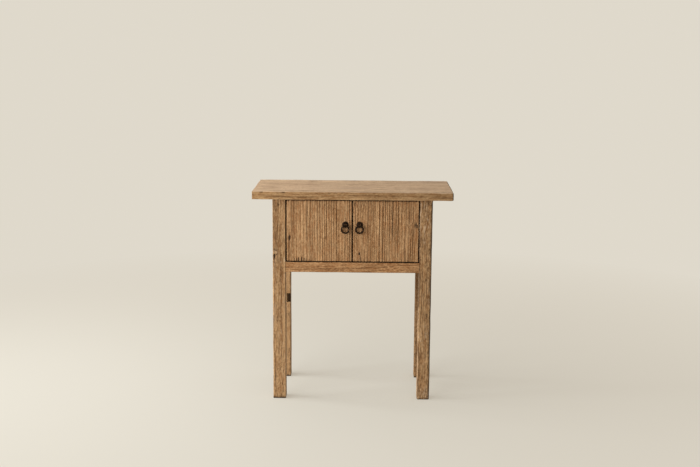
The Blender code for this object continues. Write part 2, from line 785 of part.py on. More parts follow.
def make_eye(side_name, x, axis):
    """A split pin: a loop in front of the door, two shanks through it and prongs clinched behind it.

    The wire's path lies in an upright plane square to the door.
    """
    behind = DOOR_THICKNESS + FIT + EYE_WIRE_RADIUS
    bend_out = EYE_BEND_RADIUS - behind
    bend_up = EYE_SHANK_OFFSET + EYE_BEND_RADIUS
    prong = [(-behind, EYE_SHANK_OFFSET + PRONG_LENGTH)]
    for index in range(BEND_POINTS + 1):
        angle = math.pi / 2 * index / BEND_POINTS
        out = bend_out - EYE_BEND_RADIUS * math.cos(angle)
        prong.append((out, bend_up - EYE_BEND_RADIUS * math.sin(angle)))
    opening = math.asin(EYE_SHANK_OFFSET / EYE_LOOP_RADIUS)
    loop = []
    for index in range(LOOP_POINTS + 1):
        angle = opening + (2 * math.pi - 2 * opening) * index / LOOP_POINTS
        out = EYE_REACH - EYE_LOOP_RADIUS * math.cos(angle)
        loop.append((out, EYE_LOOP_RADIUS * math.sin(angle)))
    path = prong + loop + [(out, -up) for out, up in reversed(prong)]
    curve = bpy.data.curves.new(f"{side_name}_pull_eye", "CURVE")
    curve.dimensions = "3D"
    curve.bevel_depth = EYE_WIRE_RADIUS
    curve.bevel_resolution = 2
    curve.use_fill_caps = True
    spline = curve.splines.new("POLY")
    spline.points.add(len(path) - 1)
    for point, (out, up) in zip(spline.points, path):
        point.co = (0.0, -out, up, 1.0)
    add_part(f"{side_name}_pull_eye", curve, IRON, (x, DOOR_FRONT, PULL_Z), axis)


def make_ring(side_name, x, axis):
    """The ring hangs in the eye, and its origin is on the line that it swings about."""
    bpy.ops.mesh.primitive_torus_add(
        major_radius=RING_RADIUS,
        minor_radius=RING_WIRE_RADIUS,
        major_segments=RING_STEPS,
        minor_segments=RING_WIRE_SIDES,
    )
    made = bpy.context.object
    mesh = made.data
    bpy.data.objects.remove(made)
    hang = Matrix.Translation((0.0, 0.0, -RING_RADIUS))
    mesh.transform(hang @ Matrix.Rotation(math.pi / 2, 4, "X"))
    mesh.shade_smooth()
    add_part(f"{side_name}_pull_ring", mesh, IRON, (x, RING_PIVOT_Y, RING_PIVOT_Z), axis)


make_top()
make_legs()
make_cross_rails()
make_side_rails()
make_panels()
make_door_stop()
for door_side, door_name in ((-1, "left"), (1, "right")):
    make_door(door_side, door_name)
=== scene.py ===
"""Looks of a console table with a two-door cupboard: old open-grained wood and forged iron ring pulls.

Metres, +Z up. +X is to the right of someone who faces the doors, and +Y is away from them.
Every wooden piece is the skin of a worn block, carved by the growth rings of the log that it was sawn from.
"""

import itertools
import math
from dataclasses import dataclass, replace

import bpy
import numpy as np
from mathutils import Matrix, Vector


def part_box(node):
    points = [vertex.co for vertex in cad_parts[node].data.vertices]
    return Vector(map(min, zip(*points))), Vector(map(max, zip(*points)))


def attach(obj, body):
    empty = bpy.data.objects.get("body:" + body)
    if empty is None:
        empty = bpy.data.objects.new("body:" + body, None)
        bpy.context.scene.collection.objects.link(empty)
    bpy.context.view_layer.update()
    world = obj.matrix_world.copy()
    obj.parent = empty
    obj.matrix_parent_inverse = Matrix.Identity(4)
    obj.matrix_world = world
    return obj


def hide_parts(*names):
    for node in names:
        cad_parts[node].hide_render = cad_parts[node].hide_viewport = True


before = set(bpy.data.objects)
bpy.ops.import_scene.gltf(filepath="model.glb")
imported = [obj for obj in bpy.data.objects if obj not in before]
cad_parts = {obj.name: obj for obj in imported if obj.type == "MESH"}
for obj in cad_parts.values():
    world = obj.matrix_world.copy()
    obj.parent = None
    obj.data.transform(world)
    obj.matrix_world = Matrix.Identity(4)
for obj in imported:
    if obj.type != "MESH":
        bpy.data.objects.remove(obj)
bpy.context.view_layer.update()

# Axis numbers and names, and the table's two sides
X, Y, Z = 0, 1, 2
AXIS_NAMES = "xyz"
SIDES = ("left", "right")

# Camera: place, three turns, and a focal length in pixels of a picture of this width
CAMERA_PLACE = (0.0599, -4.6194, 1.5118)
CAMERA_YAW = math.radians(-0.899)
CAMERA_PITCH = math.radians(10.257)
CAMERA_ROLL = math.radians(-0.401)
SENSOR_WIDTH = 36.0
PICTURE_WIDTH = 700
FOCAL_PIXELS = 1103

# Lamps
LAMP_AIM = (0.0, 0.0, 0.6)
KEY_PLACE = (-2.8, -0.12, 2.0)
KEY_SIZE = 1.6
KEY_POWER = 90.0
KEY_COLOUR = (1.0, 0.98, 0.945)
FILL_PLACE = (-3.2, -3.4, 1.7)
FILL_SIZE = 3.6
FILL_POWER = 158.0
FILL_COLOUR = (1.0, 0.985, 0.96)

# Light of the room by direction, the part of each axis over which it changes, and what the eye sees instead
AMBIENT_LEFT = (0.30, 0.29, 0.272, 1.0)
AMBIENT_RIGHT = (0.24, 0.234, 0.222, 1.0)
AMBIENT_BACK = (0.40, 0.388, 0.366, 1.0)
AMBIENT_ABOVE = (0.74, 0.725, 0.695, 1.0)
LEFT_TO_RIGHT = (-0.9, 0.9)
MIDDLE_TO_BACK = (0.0, 0.7)
LEVEL_TO_ABOVE = (0.4, 0.8)
BACKGROUND = (0.74, 0.693, 0.60, 1.0)

# Floor: its colours, the distances over which it melts into the background, and its mesh
FLOOR_COLOUR = (0.545, 0.565, 0.545, 1.0)
FLOOR_CLOUDS = (0.52865, 0.54805, 0.52865, 1.0)
FLOOR_BOUNCE = (0.30, 0.275, 0.24, 1.0)
FLOOR_GLOW = (0.780, 0.687, 0.551, 1.0)
FLOOR_GLOW_NEAR = 0.51
FLOOR_NEAR = 0.4
FLOOR_FAR = 3.2
FLOOR_RADIUS = 60.0
FLOOR_GROWTH = 2.2
FLOOR_RINGS = 24
FLOOR_SPOKES = 96

# Gap at each joint, and the radius of an edge that fits tight
FIT = 0.0003
TIGHT = 0.0007

# Rounded edges: steps round one, room for wear, reach of a face's own radius, and the ends of a stretch of it
ROUND_STEPS = 4
ROUND_MARGIN = 1.35
ROUND_WEAR = 0.22
ROUND_REACH = 0.014
ROUND_EASE = 0.004

# How far the front lower rail lies behind the legs' faces, worn almost level, and reaches into the legs
RAIL_SETBACK = 0.001
RAIL_BITE = 0.002

# How far the middle back board reaches into its neighbours, so that no light shows between them
BOARD_LAPS = {"back_board_middle": 0.0014}

# The noises of a wooden piece, in the order of their seeds, with the lengths over which they change
NOISES = {
    "edge wear": (0.045,),
    "edge nibbles": (0.012,),
    "pith sway": (0.16,),
    "pith lift": (0.22,),
    "ring wave": (0.035, 0.035, 0.14),
    "ring ripple": (0.009, 0.009, 0.04),
    "ring spacing": (1 / 0.41,),
    "ring strength": (),
    "line breaks": (1.0, 1.0),
    "short line breaks": (1.0, 0.25),
    "streaks": (1 / 3.7, 0.09),
    "slow shades": (1 / 0.55, 0.35),
    "crack wander": (0.03,),
    "chip rims": (0.45, 0.45, 0.45),
    "specks": (0.0026, 0.0026, 0.016),
    "speck patches": (0.03, 0.03, 0.09),
    "foot dirt": (0.008, 0.008),
    "face wave": (0.06, 0.06, 0.06),
    "edge rub": (0.02, 0.02, 0.02),
    "fine lines": (1.0, 0.03),
    "small mottle": (0.0042, 0.0042, 0.0075),
    "large mottle": (0.010, 0.010, 0.026),
    "end dirt": (0.004,),
    "pits": (0.0036, 0.0036, 0.0036),
}

# How far apart the seeds of two boards lie, so that they share no noise
SEED_STEP = 30

# Lattice sizes of the noise in one, two and three directions
LATTICE = {1: 512, 2: 128, 3: 64}

# How many strengths the rings of a piece take in turn, and how far apart two rings' breaks are drawn
RING_STRENGTHS = 997
RING_ROW = 0.77

# How hard a knot pulls the grain, and how far across it
KNOT_PULL = 0.85
KNOT_SPREAD = 5

# Depths and reaches of small marks, of the darkening at a leg's foot, of the painted light and shade towards
# the lower end, and of the painted shade at the ends
CRACK_WANDER = 0.0012
PIT_DEPTH = 0.0005
SPECK_DEPTH = 0.0003
FOOT_DARK_HEIGHT = 0.012
FOOT_SHADE_FADE = (0.05, 0.55)
END_SHADE_REACH = (0.0025, 0.0045)

# Turns of a surface towards a face, as cosines: on the flat, bleached and painted light, painted shade past
# its start, and sawn ends
FLAT_TURN = (0.93, 0.999)
BLEACH_AND_LIGHT_TURN = (0.25, 0.7)
PAINTED_SHADE_TURN = 0.4
END_GRAIN_TURN = (0.3, 0.95)

# Planes that the visible stretches of the pieces end at
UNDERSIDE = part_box("top_board_front")[0][Z]
TOP_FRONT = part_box("top_board_front")[0][Y]
TOP_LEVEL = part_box("top_board_front")[1][Z]
LEG_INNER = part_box("leg_front_right")[0][X]
LEG_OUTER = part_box("leg_front_right")[1][X]
LEG_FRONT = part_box("leg_front_right")[0][Y]
FRONT_LEG_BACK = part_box("leg_front_right")[1][Y]
BACK_LEG_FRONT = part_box("leg_back_right")[0][Y]
RAIL_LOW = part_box("front_lower_rail")[0][Z]
LOWER_RAIL_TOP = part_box("front_lower_rail")[1][Z]
UPPER_RAIL_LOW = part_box("front_upper_rail")[0][Z]
DOOR_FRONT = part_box("left_door_plank")[0][Y]
DOOR_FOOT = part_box("left_door_plank")[0][Z]
BETWEEN_LEGS = (-LEG_INNER + FIT, LEG_INNER - FIT)
BESIDE_LEGS = (FRONT_LEG_BACK + FIT, BACK_LEG_FRONT - FIT)
BETWEEN_RAILS = (LOWER_RAIL_TOP + FIT, UPPER_RAIL_LOW - FIT)
UNDER_TOP = (0.0, UNDERSIDE - FIT)

# Old notch in the inner front corner of the back left leg, painted dark inside as shade
NOTCH_SIDE = -1
NOTCH_FLOOR = 0.342
NOTCH_HEIGHT = 0.039
NOTCH_WIDTH = 0.0175
NOTCH_DEPTH = 0.012
NOTCH_SHADE = 0.95
NOTCH_SHADE_FADE = 0.5
NOTCH_ROW = 0.0004

# Nicks in the lower end of the left door: place across, length, width and darkness
NICK_DEPTH = 0.001
LEFT_DOOR_NICKS = (
    (-0.2370, 0.012, 0.0018, 0.70), (-0.2285, 0.013, 0.0026, 0.85), (-0.2205, 0.017, 0.0028, 0.95),
    (-0.2087, 0.018, 0.0028, 0.95), (-0.1980, 0.014, 0.0028, 0.90), (-0.1893, 0.012, 0.0019, 0.70),
    (-0.1770, 0.011, 0.0017, 0.60),
)

# Rosettes: bore, rim, steps over dome and back, bead and hollow as height, middle and reach, and dents
ROSETTE_BORE = 0.0055
ROSETTE_RIM = 0.0010
ROSETTE_STEPS = 22
ROSETTE_BACK_STEPS = 12
ROSETTE_BEAD = (0.0004, 0.93, 0.05)
ROSETTE_HOLLOW = (-0.0005, 0.80, 0.06)
ROSETTE_LEAST = 0.0003
ROSETTE_UNROUND = 0.012
DENT_SIZE = 0.0028
DENT_DEPTH = 0.00022

# Eyes: radii of wire, loop and bends, reach of the loop, half the gap between the shanks, prongs and steps
EYE_WIRE = 0.0016
EYE_LOOP = 0.0085
EYE_BEND = 0.0032
EYE_REACH = 0.0118
EYE_SHANK_OFFSET = 0.0019
PRONG_LENGTH = 0.020
PRONG_TAPER = 0.012
PRONG_POINT = 0.12
PRONG_STEPS = 12
BEND_STEPS = 9
SHANK_STEPS = 14
LOOP_STEPS = 49

# Rings: steps, and the swelling, the worn place and the dents of the wire as shares of its radius
PULL_ROUND_STEPS = 72
RING_STEPS = 96
WIRE_STEPS = 20
RING_SWELL = 0.15
RING_UNEVEN = 0.06
RING_WORN = 0.23
RING_WORN_REACH = 0.45
WIRE_DENT = 0.05
WIRE_DENT_LENGTH = 0.003

# Fine patterns of wood: waves to the metre across and along the grain, and how many finer layers
FIBRES = (760.0, 16.0, 5.0)
THREADS = (300.0, 7.0, 3.0)
SHORT_PORES = (520.0, 34.0, 2.0)
BLOTCHES = (26.0, 7.0, 4.0)
GRAINS = (230.0, 110.0, 3.0)
WARM_PATCHES = (110.0, 30.0, 3.0)
PIN_STREAKS = (640.0, 30.0, 5.0)

# How much of each pattern shows in the colour of old wood
THREAD_CONTRAST = 1.8
GREY_SHARE = 0.30
RUDDY_SHARE = 0.42
WORN_SHARE = 0.5
FIBRE_CONTRAST = (0.80, 1.16)
PORE_SHARE = 0.26

# Sockets of a colour mix
MIX_SHARE, MIX_ONE, MIX_OTHER, MIX_RESULT = 0, 6, 7, 2


def srgb(red, green, blue):
    """A colour given as 8-bit display values, in linear light."""
    share = np.array([red, green, blue]) / 255.0
    return tuple(np.where(share <= 0.04045, share / 12.92, ((share + 0.055) / 1.055) ** 2.4)) + (1.0,)


# Finishes of the wood: its colours, how gritty its tone is, how dull it is and how much it mirrors. The worn
# colour also paints light and sheen, and the sooty one painted shade
TONES = {
    "top": dict(
        light=srgb(203, 165, 120), deep=srgb(139, 99, 61), ruddy=srgb(150, 103, 61), pore=srgb(78, 48, 24),
        soot_and_shade=srgb(46, 32, 20), worn=srgb(214, 203, 188), grey=srgb(170, 140, 104),
        grit=2.0, dullness=0.72, shine=0.04,
    ),
    "leg": dict(
        light=srgb(210, 169, 122), deep=srgb(126, 90, 55), ruddy=srgb(158, 106, 60), pore=srgb(70, 42, 18),
        soot_and_shade=srgb(38, 25, 13), worn=srgb(220, 192, 160), grey=srgb(156, 127, 94),
        grit=2.4, dullness=0.55, shine=0.15,
    ),
    "rail": dict(
        light=srgb(216, 168, 119), deep=srgb(136, 93, 55), ruddy=srgb(164, 107, 59), pore=srgb(74, 44, 19),
        soot_and_shade=srgb(38, 25, 13), worn=srgb(204, 160, 112), grey=srgb(154, 119, 84),
        grit=2.4, dullness=0.55, shine=0.15,
    ),
    "door": dict(
        light=srgb(222, 178, 130), deep=srgb(140, 98, 58), ruddy=srgb(172, 113, 66), pore=srgb(60, 34, 12),
        soot_and_shade=srgb(26, 16, 8), worn=srgb(216, 176, 128), grey=srgb(170, 137, 102),
        grit=1.6, dullness=0.55, shine=0.15,
    ),
    "panel": dict(
        light=srgb(172, 134, 96), deep=srgb(132, 97, 64), ruddy=srgb(152, 106, 67), pore=srgb(84, 57, 34),
        soot_and_shade=srgb(40, 28, 18), worn=srgb(188, 152, 112), grey=srgb(148, 121, 93),
        grit=1.6, dullness=0.62, shine=0.2,
    ),
}
WOODS = {}


def smooth_step(low, high, value):
    """0 below low, 1 above high, and the ease curve 3t2 - 2t3 between them."""
    share = np.clip((value - low) / (high - low), 0.0, 1.0)
    return share * share * (3.0 - 2.0 * share)


def bell(value):
    """The bell curve: 1 at 0, and e to the minus square of the value elsewhere."""
    return np.exp(-(value**2))


def smooth_noise(seed, *places):
    """Noise from -1 to 1: random values on a wrapped unit lattice, eased between the corners of each cell."""
    size = LATTICE[len(places)]
    values = np.random.default_rng(seed).uniform(-1.0, 1.0, (size,) * len(places))
    cells = [np.floor(place).astype(int) for place in places]
    eased = [smooth_step(0.0, 1.0, place - cell) for place, cell in zip(places, cells)]
    total = np.zeros(np.shape(places[0]))
    for corner in itertools.product((0, 1), repeat=len(places)):
        weight = np.ones_like(total)
        for step, ease in zip(corner, eased):
            weight = weight * (ease if step else 1.0 - ease)
        total += weight * values[tuple((cell + step) % size for cell, step in zip(cells, corner))]
    return total


def put_mesh(name, points, *face_sets, colours=None):
    """A smooth-shaded object from arrays of points and faces, with a colour per point if given."""
    mesh = bpy.data.meshes.new(name)
    mesh.vertices.add(len(points))
    mesh.vertices.foreach_set("co", np.asarray(points, np.float32).ravel())
    corners = np.concatenate([faces.ravel() for faces in face_sets])
    sizes = np.concatenate([np.full(len(faces), faces.shape[1]) for faces in face_sets])
    mesh.loops.add(len(corners))
    mesh.loops.foreach_set("vertex_index", corners.astype(np.int32))
    mesh.polygons.add(len(sizes))
    mesh.polygons.foreach_set("loop_start", (np.cumsum(sizes) - sizes).astype(np.int32))
    mesh.update(calc_edges=True)
    mesh.shade_smooth()
    if colours is not None:
        layer = mesh.attributes.new("grain", "FLOAT_COLOR", "POINT")
        layer.data.foreach_set("color", np.asarray(colours, np.float32).ravel())
    piece = bpy.data.objects.new(name, mesh)
    bpy.context.scene.collection.objects.link(piece)
    return piece


def dress(piece, material, node_name, body):
    """Gives a piece its material, and puts it in place of its solid and on its body."""
    piece.data.materials.append(material)
    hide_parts(node_name)
    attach(piece, body)


@dataclass
class Knot:
    """A knot on the skin, stretched along the grain, or with no darkness just a swirl in the lines."""

    place: tuple
    radius: float
    stretch: float
    dark: float
    hollow: float


@dataclass
class Crack:
    """A drying crack, a deep dark line, or a broad band of painted shade that follows the grain from one
    place to another.
    """

    start: tuple
    end: tuple
    width: float
    depth: float
    dark: float


@dataclass
class Chip:
    """A bruise or broken spot: a bowl of this radius and depth, dirty if dark and fresh wood if pale."""

    place: tuple
    radius: float
    depth: float
    dark: float = 0.0
    pale: float = 0.0


@dataclass
class Scuff:
    """A scraped or pitted patch of this radius, with pale and dark flecks."""

    place: tuple
    radius: float
    pale: float
    dark: float


@dataclass
class Cut:
    """How a piece was sawn from its log, how its grain shows and how it has worn."""

    grain: int  # axis that the grain follows
    pith: tuple  # where the middle of the log lies in the other two axes
    seed: int
    edge: float  # radius of the worn edges
    across_step: float = 0.0016  # mesh sizes
    along_step: float = 0.008
    extra_rows: tuple = ()  # more rows of the mesh along the grain
    rounds: tuple = ()  # other radii, the last one ruling: axis, end, radius, and a stretch of it if not all
    ring: float = 0.007  # width of a growth ring
    uneven: float = 0.8  # how much rings differ, in rings
    drift: float = 0.006  # how far the pith wanders
    swirl: float = 0.35  # how far the rings wave, in rings
    groove: float = 0.0006  # depth of the open lines between the rings
    line: float = 0.17  # width of a line, as a share of a ring
    bold: float = 1.0  # strength of all lines
    even: float = 0.16  # strength of the faintest line
    whole: float = 0.66  # how little the lines are broken
    run: float = 0.055  # length over which a line fades
    calm: tuple = ()  # where lines are weak: middle and reach across the grain, and how weak
    wave: float = 0.0003  # depth of the slow waves of the faces
    rub: float = 1.0  # how far the edges are rubbed pale
    specks: float = 0.5  # dark specks
    flecks: float = 0.0  # pale flecks
    mottle: float = 0.3  # small spots of other tone
    patchy: float = 1.0  # slow changes of tone
    shade: float = 0.0  # lighter, or darker below 0: the wood's tone, and on some pieces painted light and shade
    shades: tuple = ()  # the same at places across the grain
    foot_shade: float = 0.0  # the same towards the lower end, painted light and shade along the piece
    foot_dark: float = 0.0  # darker towards the bottom of a leg's foot
    end_grain: float = 0.0  # darkness of the sawn ends
    end_shade: tuple = ()  # painted shade that creeps in from the lower and the upper end
    painted_shade: tuple = ()  # painted shade on the edges of a face that is turned from the light or lies in a gap: axis, sign, amount, share on the flat, and where it starts
    bleach_and_light: tuple = ()  # a face painted pale: bleached wood with painted sheen on the top, painted light on a lit side: axis, sign, amount and share on the flat
    knots: tuple = ()
    cracks: tuple = ()
    chips: tuple = ()
    scuffs: tuple = ()

    def seed_of(self, noise):
        """The seed of one of the piece's noises."""
        return self.seed + 1 + list(NOISES).index(noise)

    def noise(self, noise, *places):
        """One of the piece's noises, at places that are divided by its lengths."""
        scaled = [place / length for place, length in zip(places, NOISES[noise])]
        return smooth_noise(self.seed_of(noise), *scaled)

    def by_grain(self, points):
        """The points' places in the first and the second axis across the grain, and along it."""
        first, second = [axis for axis in range(3) if axis != self.grain]
        return points[:, first], points[:, second], points[:, self.grain]


def visible_box(node_name, x=None, y=None, z=None, lap=0.0):
    """A solid's box as two corners, cut to the stretch that shows, and made longer at both ends by a lap."""
    low, high = (np.array(corner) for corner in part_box(node_name))
    for axis, limits in enumerate((x, y, z)):
        if limits:
            low[axis] = max(low[axis], limits[0])
            high[axis] = min(high[axis], limits[1])
    low[X] -= lap
    high[X] += lap
    return low, high


def sample_rows(low, high, step, round_low, round_high, extra=()):
    """Places along a side of a block: equal angles over the rounding at each end, and even steps between."""
    arc = 1.0 - np.tan(np.linspace(math.pi / 4, 0.0, ROUND_STEPS + 1))
    count = max(2, math.ceil((high - low - round_low - round_high) / step) + 1)
    middle = np.linspace(low + round_low, high - round_high, count)
    rows = np.concatenate([low + round_low * arc[:-1], middle, high - round_high * arc[-2::-1]])
    return np.unique(np.concatenate([rows, extra]))


def block_skin(rows):
    """The skin of a block: each face is a grid over two of the three rows, and shared points are one.

    A point's key counts its three row numbers in one number, so faces that meet name the same keys.
    """
    counts = [len(row) for row in rows]
    sides = []
    for axis in range(3):
        first, second = [other for other in range(3) if other != axis]
        for end in (0, counts[axis] - 1):
            place = [None, None, None]
            place[first], place[second] = np.meshgrid(
                np.arange(counts[first]), np.arange(counts[second]), indexing="ij"
            )
            place[axis] = np.full_like(place[first], end)
            key = (place[X] * counts[Y] + place[Y]) * counts[Z] + place[Z]
            quads = np.stack([key[:-1, :-1], key[1:, :-1], key[1:, 1:], key[:-1, 1:]], axis=-1).reshape(-1, 4)
            outward = (end > 0) != (axis == Y)
            sides.append(quads if outward else quads[:, ::-1])
    quads = np.concatenate(sides)
    keys, faces = np.unique(quads, return_inverse=True)
    numbers = (keys // (counts[Y] * counts[Z]), keys // counts[Z] % counts[Y], keys % counts[Z])
    points = np.stack([row[number] for row, number in zip(rows, numbers)], axis=-1)
    return points, faces.reshape(-1, 4)


def rounding_at(points, low, high, cut):
    """Radius of the worn edge near each point: the piece's own, eased to that of a face it lies close to."""
    along = points[:, cut.grain]
    radius = np.full(len(points), cut.edge)
    for axis, end, wanted, *stretch in cut.rounds:
        gap = (high[axis] - points[:, axis]) if end else (points[:, axis] - low[axis])
        pull = 1.0 - smooth_step(0.0, ROUND_REACH, gap)
        if stretch:
            pull = pull * smooth_step(stretch[0] - ROUND_EASE, stretch[0], along)
            pull = pull * (1.0 - smooth_step(stretch[1], stretch[1] + ROUND_EASE, along))
        radius = radius + (wanted - radius) * pull
    wear = cut.noise("edge wear", along) + 0.6 * cut.noise("edge nibbles", along)
    return radius * (1.0 + ROUND_WEAR * wear)


def worn_block(low, high, cut):
    """A block with rounded edges: each skin point sits one radius outside the block shrunk by that radius.

    Returns the points, faces, outward directions, and how far each point lies on an edge, from 0 to 1.
    """
    rows = []
    for axis in range(3):
        radii = {end: wanted for side, end, wanted, *stretch in cut.rounds if side == axis and not stretch}
        ends = [radii.get(end, cut.edge) * ROUND_MARGIN for end in (0, 1)]
        step = cut.along_step if axis == cut.grain else cut.across_step
        extra = cut.extra_rows if axis == cut.grain else ()
        rows.append(sample_rows(low[axis], high[axis], step, *ends, extra))
    points, faces = block_skin(rows)
    radius = rounding_at(points, low, high, cut)[:, None]
    core = np.clip(points, low + radius, high - radius)
    outward = points - core
    outward /= np.linalg.norm(outward, axis=1, keepdims=True)
    on_edge = (1.0 - np.abs(outward).max(axis=1)) / (1.0 - math.sqrt(0.5))
    return core + radius * outward, faces, outward, np.clip(on_edge, 0.0, 1.0)


def from_knot(points, knot, cut):
    """Squared distances from a knot's middle along and across the grain, in its half lengths and radii."""
    across, deep, along = cut.by_grain((points - np.array(knot.place)) / knot.radius)
    return (along / knot.stretch) ** 2, across**2 + deep**2


def bend_round_knots(points, cut):
    """Places by the grain, squeezed across it towards each knot, so that the lines part round it."""
    across, deep, along = cut.by_grain(points)
    for knot in cut.knots:
        lengthwise, sideways = from_knot(points, knot, cut)
        pull = KNOT_PULL * np.exp(-lengthwise - sideways / KNOT_SPREAD)
        knot_across, knot_deep, _ = cut.by_grain(np.array([knot.place]))
        across = across - pull * (across - knot_across)
        deep = deep - pull * (deep - knot_deep)
    return across, deep, along


def growth_rings(points, cut):
    """Ring number at each point: distance from the wandering pith in ring widths, waved and uneven."""
    places = bend_round_knots(points, cut)
    across, deep, along = places
    shift = cut.drift * cut.noise("pith sway", along)
    lift = cut.drift * cut.noise("pith lift", along)
    rings = np.hypot(across - cut.pith[0] - shift, deep - cut.pith[1] - lift) / cut.ring
    rings += cut.swirl * cut.noise("ring wave", *places)
    rings += 0.3 * cut.swirl * cut.noise("ring ripple", *places)
    return rings + cut.uneven * cut.noise("ring spacing", rings)


def grain_relief(points, cut):
    """Open grain: a soft-sided groove in every ring, bold or faint by ring, and broken along its length.

    A finer line runs in each half of a ring. Returns how deep the groove is at each point, and the tone of
    the wood between, with painted light and shade in it, both from 0 to 1.
    """
    places = cut.by_grain(points)
    across, _, along = places
    rings = growth_rings(points, cut)
    number = np.floor(rings)
    strengths = np.random.default_rng(cut.seed_of("ring strength")).uniform(0.0, 1.0, RING_STRENGTHS) ** 1.6
    strength = cut.even + (1.0 - cut.even) * strengths[number.astype(int) % RING_STRENGTHS]
    row = number * RING_ROW + 0.5
    broken = cut.noise("line breaks", row, along / cut.run)
    broken += 0.6 * cut.noise("short line breaks", row, along / cut.run)
    groove = bell((rings - number - 0.5) / cut.line) * strength * np.clip(cut.whole + 0.6 * broken, 0.0, 1.0)
    half_ring = np.mod(2.0 * rings + 0.3, 1.0)
    fine = bell((half_ring - 0.5) / 0.2) * np.clip(cut.noise("fine lines", number, along), 0.0, 1.0)
    groove = np.maximum(groove, 0.55 * fine)
    for middle, reach, weak in cut.calm:
        groove *= 1.0 - weak * bell((across - middle) / reach)
    # The tone takes the piece's shade and its shade towards the lower end, painted light and shade on some
    # pieces
    tone = 0.5 + cut.shade + cut.foot_shade * (1.0 - smooth_step(*FOOT_SHADE_FADE, along - along.min()))
    tone += 0.24 * cut.noise("streaks", rings, along)
    tone += 0.22 * cut.patchy * cut.noise("slow shades", rings, along)
    tone += 0.65 * cut.mottle * cut.noise("small mottle", *places)
    tone += 0.35 * cut.mottle * cut.noise("large mottle", *places)
    if cut.shades:
        tone += np.interp(across, *zip(*cut.shades))
    return np.clip(groove * cut.bold, 0.0, 1.0), np.clip(tone, 0.0, 1.0)


def from_spot(points, spot):
    """Distances from the middle of a chip or scuff, in its radii."""
    return np.linalg.norm(points - np.array(spot.place), axis=1) / spot.radius


def broken_marks(points, cut):
    """Dark marks, hollows and bare wood where the piece is knotty, cracked, chipped or scuffed.

    A knot fades with the sixth power of the distance and has rings of its own. A crack is a bell across its
    line, narrow at both ends. A chip is a bowl with a ragged rim, and a scuff is noise cut off at two levels.
    """
    across, deep, along = cut.by_grain(points)
    dark, hollow, bare = np.zeros((3, len(points)))
    for knot in cut.knots:
        reach = sum(from_knot(points, knot, cut))
        core = 1.0 / (1.0 + reach**3)
        dark = np.maximum(dark, knot.dark * core * (0.75 + 0.25 * np.cos(9.0 * np.sqrt(reach))))
        hollow += knot.hollow * core
    for crack in cut.cracks:
        (start, end), (level, _), (foot, head) = cut.by_grain(np.array([crack.start, crack.end]))
        share = (along - foot) / (head - foot)
        taper = np.sqrt(np.clip(4.0 * share * (1.0 - share), 0.0, 1.0))
        side = across - start - (end - start) * share - CRACK_WANDER * cut.noise("crack wander", along)
        width = crack.width * (0.35 + 0.65 * taper)
        line = bell(np.hypot(side, deep - level) / width) * (taper > 0.0)
        dark = np.maximum(dark, crack.dark * line)
        hollow += crack.depth * line * taper
    for chip in cut.chips:
        ragged = from_spot(points, chip) + 0.22 * cut.noise("chip rims", *(points / chip.radius).T)
        bowl = np.clip(1.0 - ragged**2, 0.0, 1.0)
        dark = np.maximum(dark, chip.dark * smooth_step(0.0, 0.5, bowl))
        bare = np.maximum(bare, chip.pale * smooth_step(0.0, 0.5, bowl))
        hollow += chip.depth * np.sqrt(bowl) * smooth_step(0.0, 0.3, bowl)
    for scuff in cut.scuffs:
        inside = 1.0 - smooth_step(0.55, 1.0, from_spot(points, scuff))
        pits = cut.noise("pits", *points.T)
        bare = np.maximum(bare, scuff.pale * inside * smooth_step(0.15, 0.5, pits))
        dark = np.maximum(dark, scuff.dark * inside * smooth_step(0.15, 0.5, -pits))
        hollow += PIT_DEPTH * inside * smooth_step(0.0, 0.5, -pits)
    return dark, hollow, bare


def marks_of_age(points, cut):
    """Dark marks, hollows and bare wood: the breaks, specks in patches, and dirt that fades from the ends."""
    places = cut.by_grain(points)
    across, _, along = places
    dark, hollow, bare = broken_marks(points, cut)
    fleck = cut.noise("specks", *places)
    patch = cut.noise("speck patches", *places)
    speck = smooth_step(0.42, 0.80, fleck) * smooth_step(-0.35, 0.4, patch) * cut.specks
    dark = np.maximum(dark, speck)
    hollow += SPECK_DEPTH * speck
    bare = np.maximum(bare, cut.flecks * smooth_step(0.30, 0.75, -fleck) * smooth_step(-0.5, 0.3, -patch))
    # Darker towards the bottom of a leg's foot
    if cut.foot_dark:
        height = FOOT_DARK_HEIGHT * (1.0 + 0.6 * cut.noise("foot dirt", points[:, X], points[:, Y]))
        dark = np.maximum(dark, cut.foot_dark * (1.0 - smooth_step(0.0, 1.0, points[:, Z] / height)))
    # Painted shade fading in from both ends, as in the gaps above and below a door
    for gap, amount, reach in zip((along - along.min(), along.max() - along), cut.end_shade, END_SHADE_REACH):
        ragged = reach * (1.0 + 0.9 * cut.noise("end dirt", across))
        dark = np.maximum(dark, amount * (1.0 - smooth_step(0.0, 1.0, gap / ragged)))
    return dark, hollow, bare


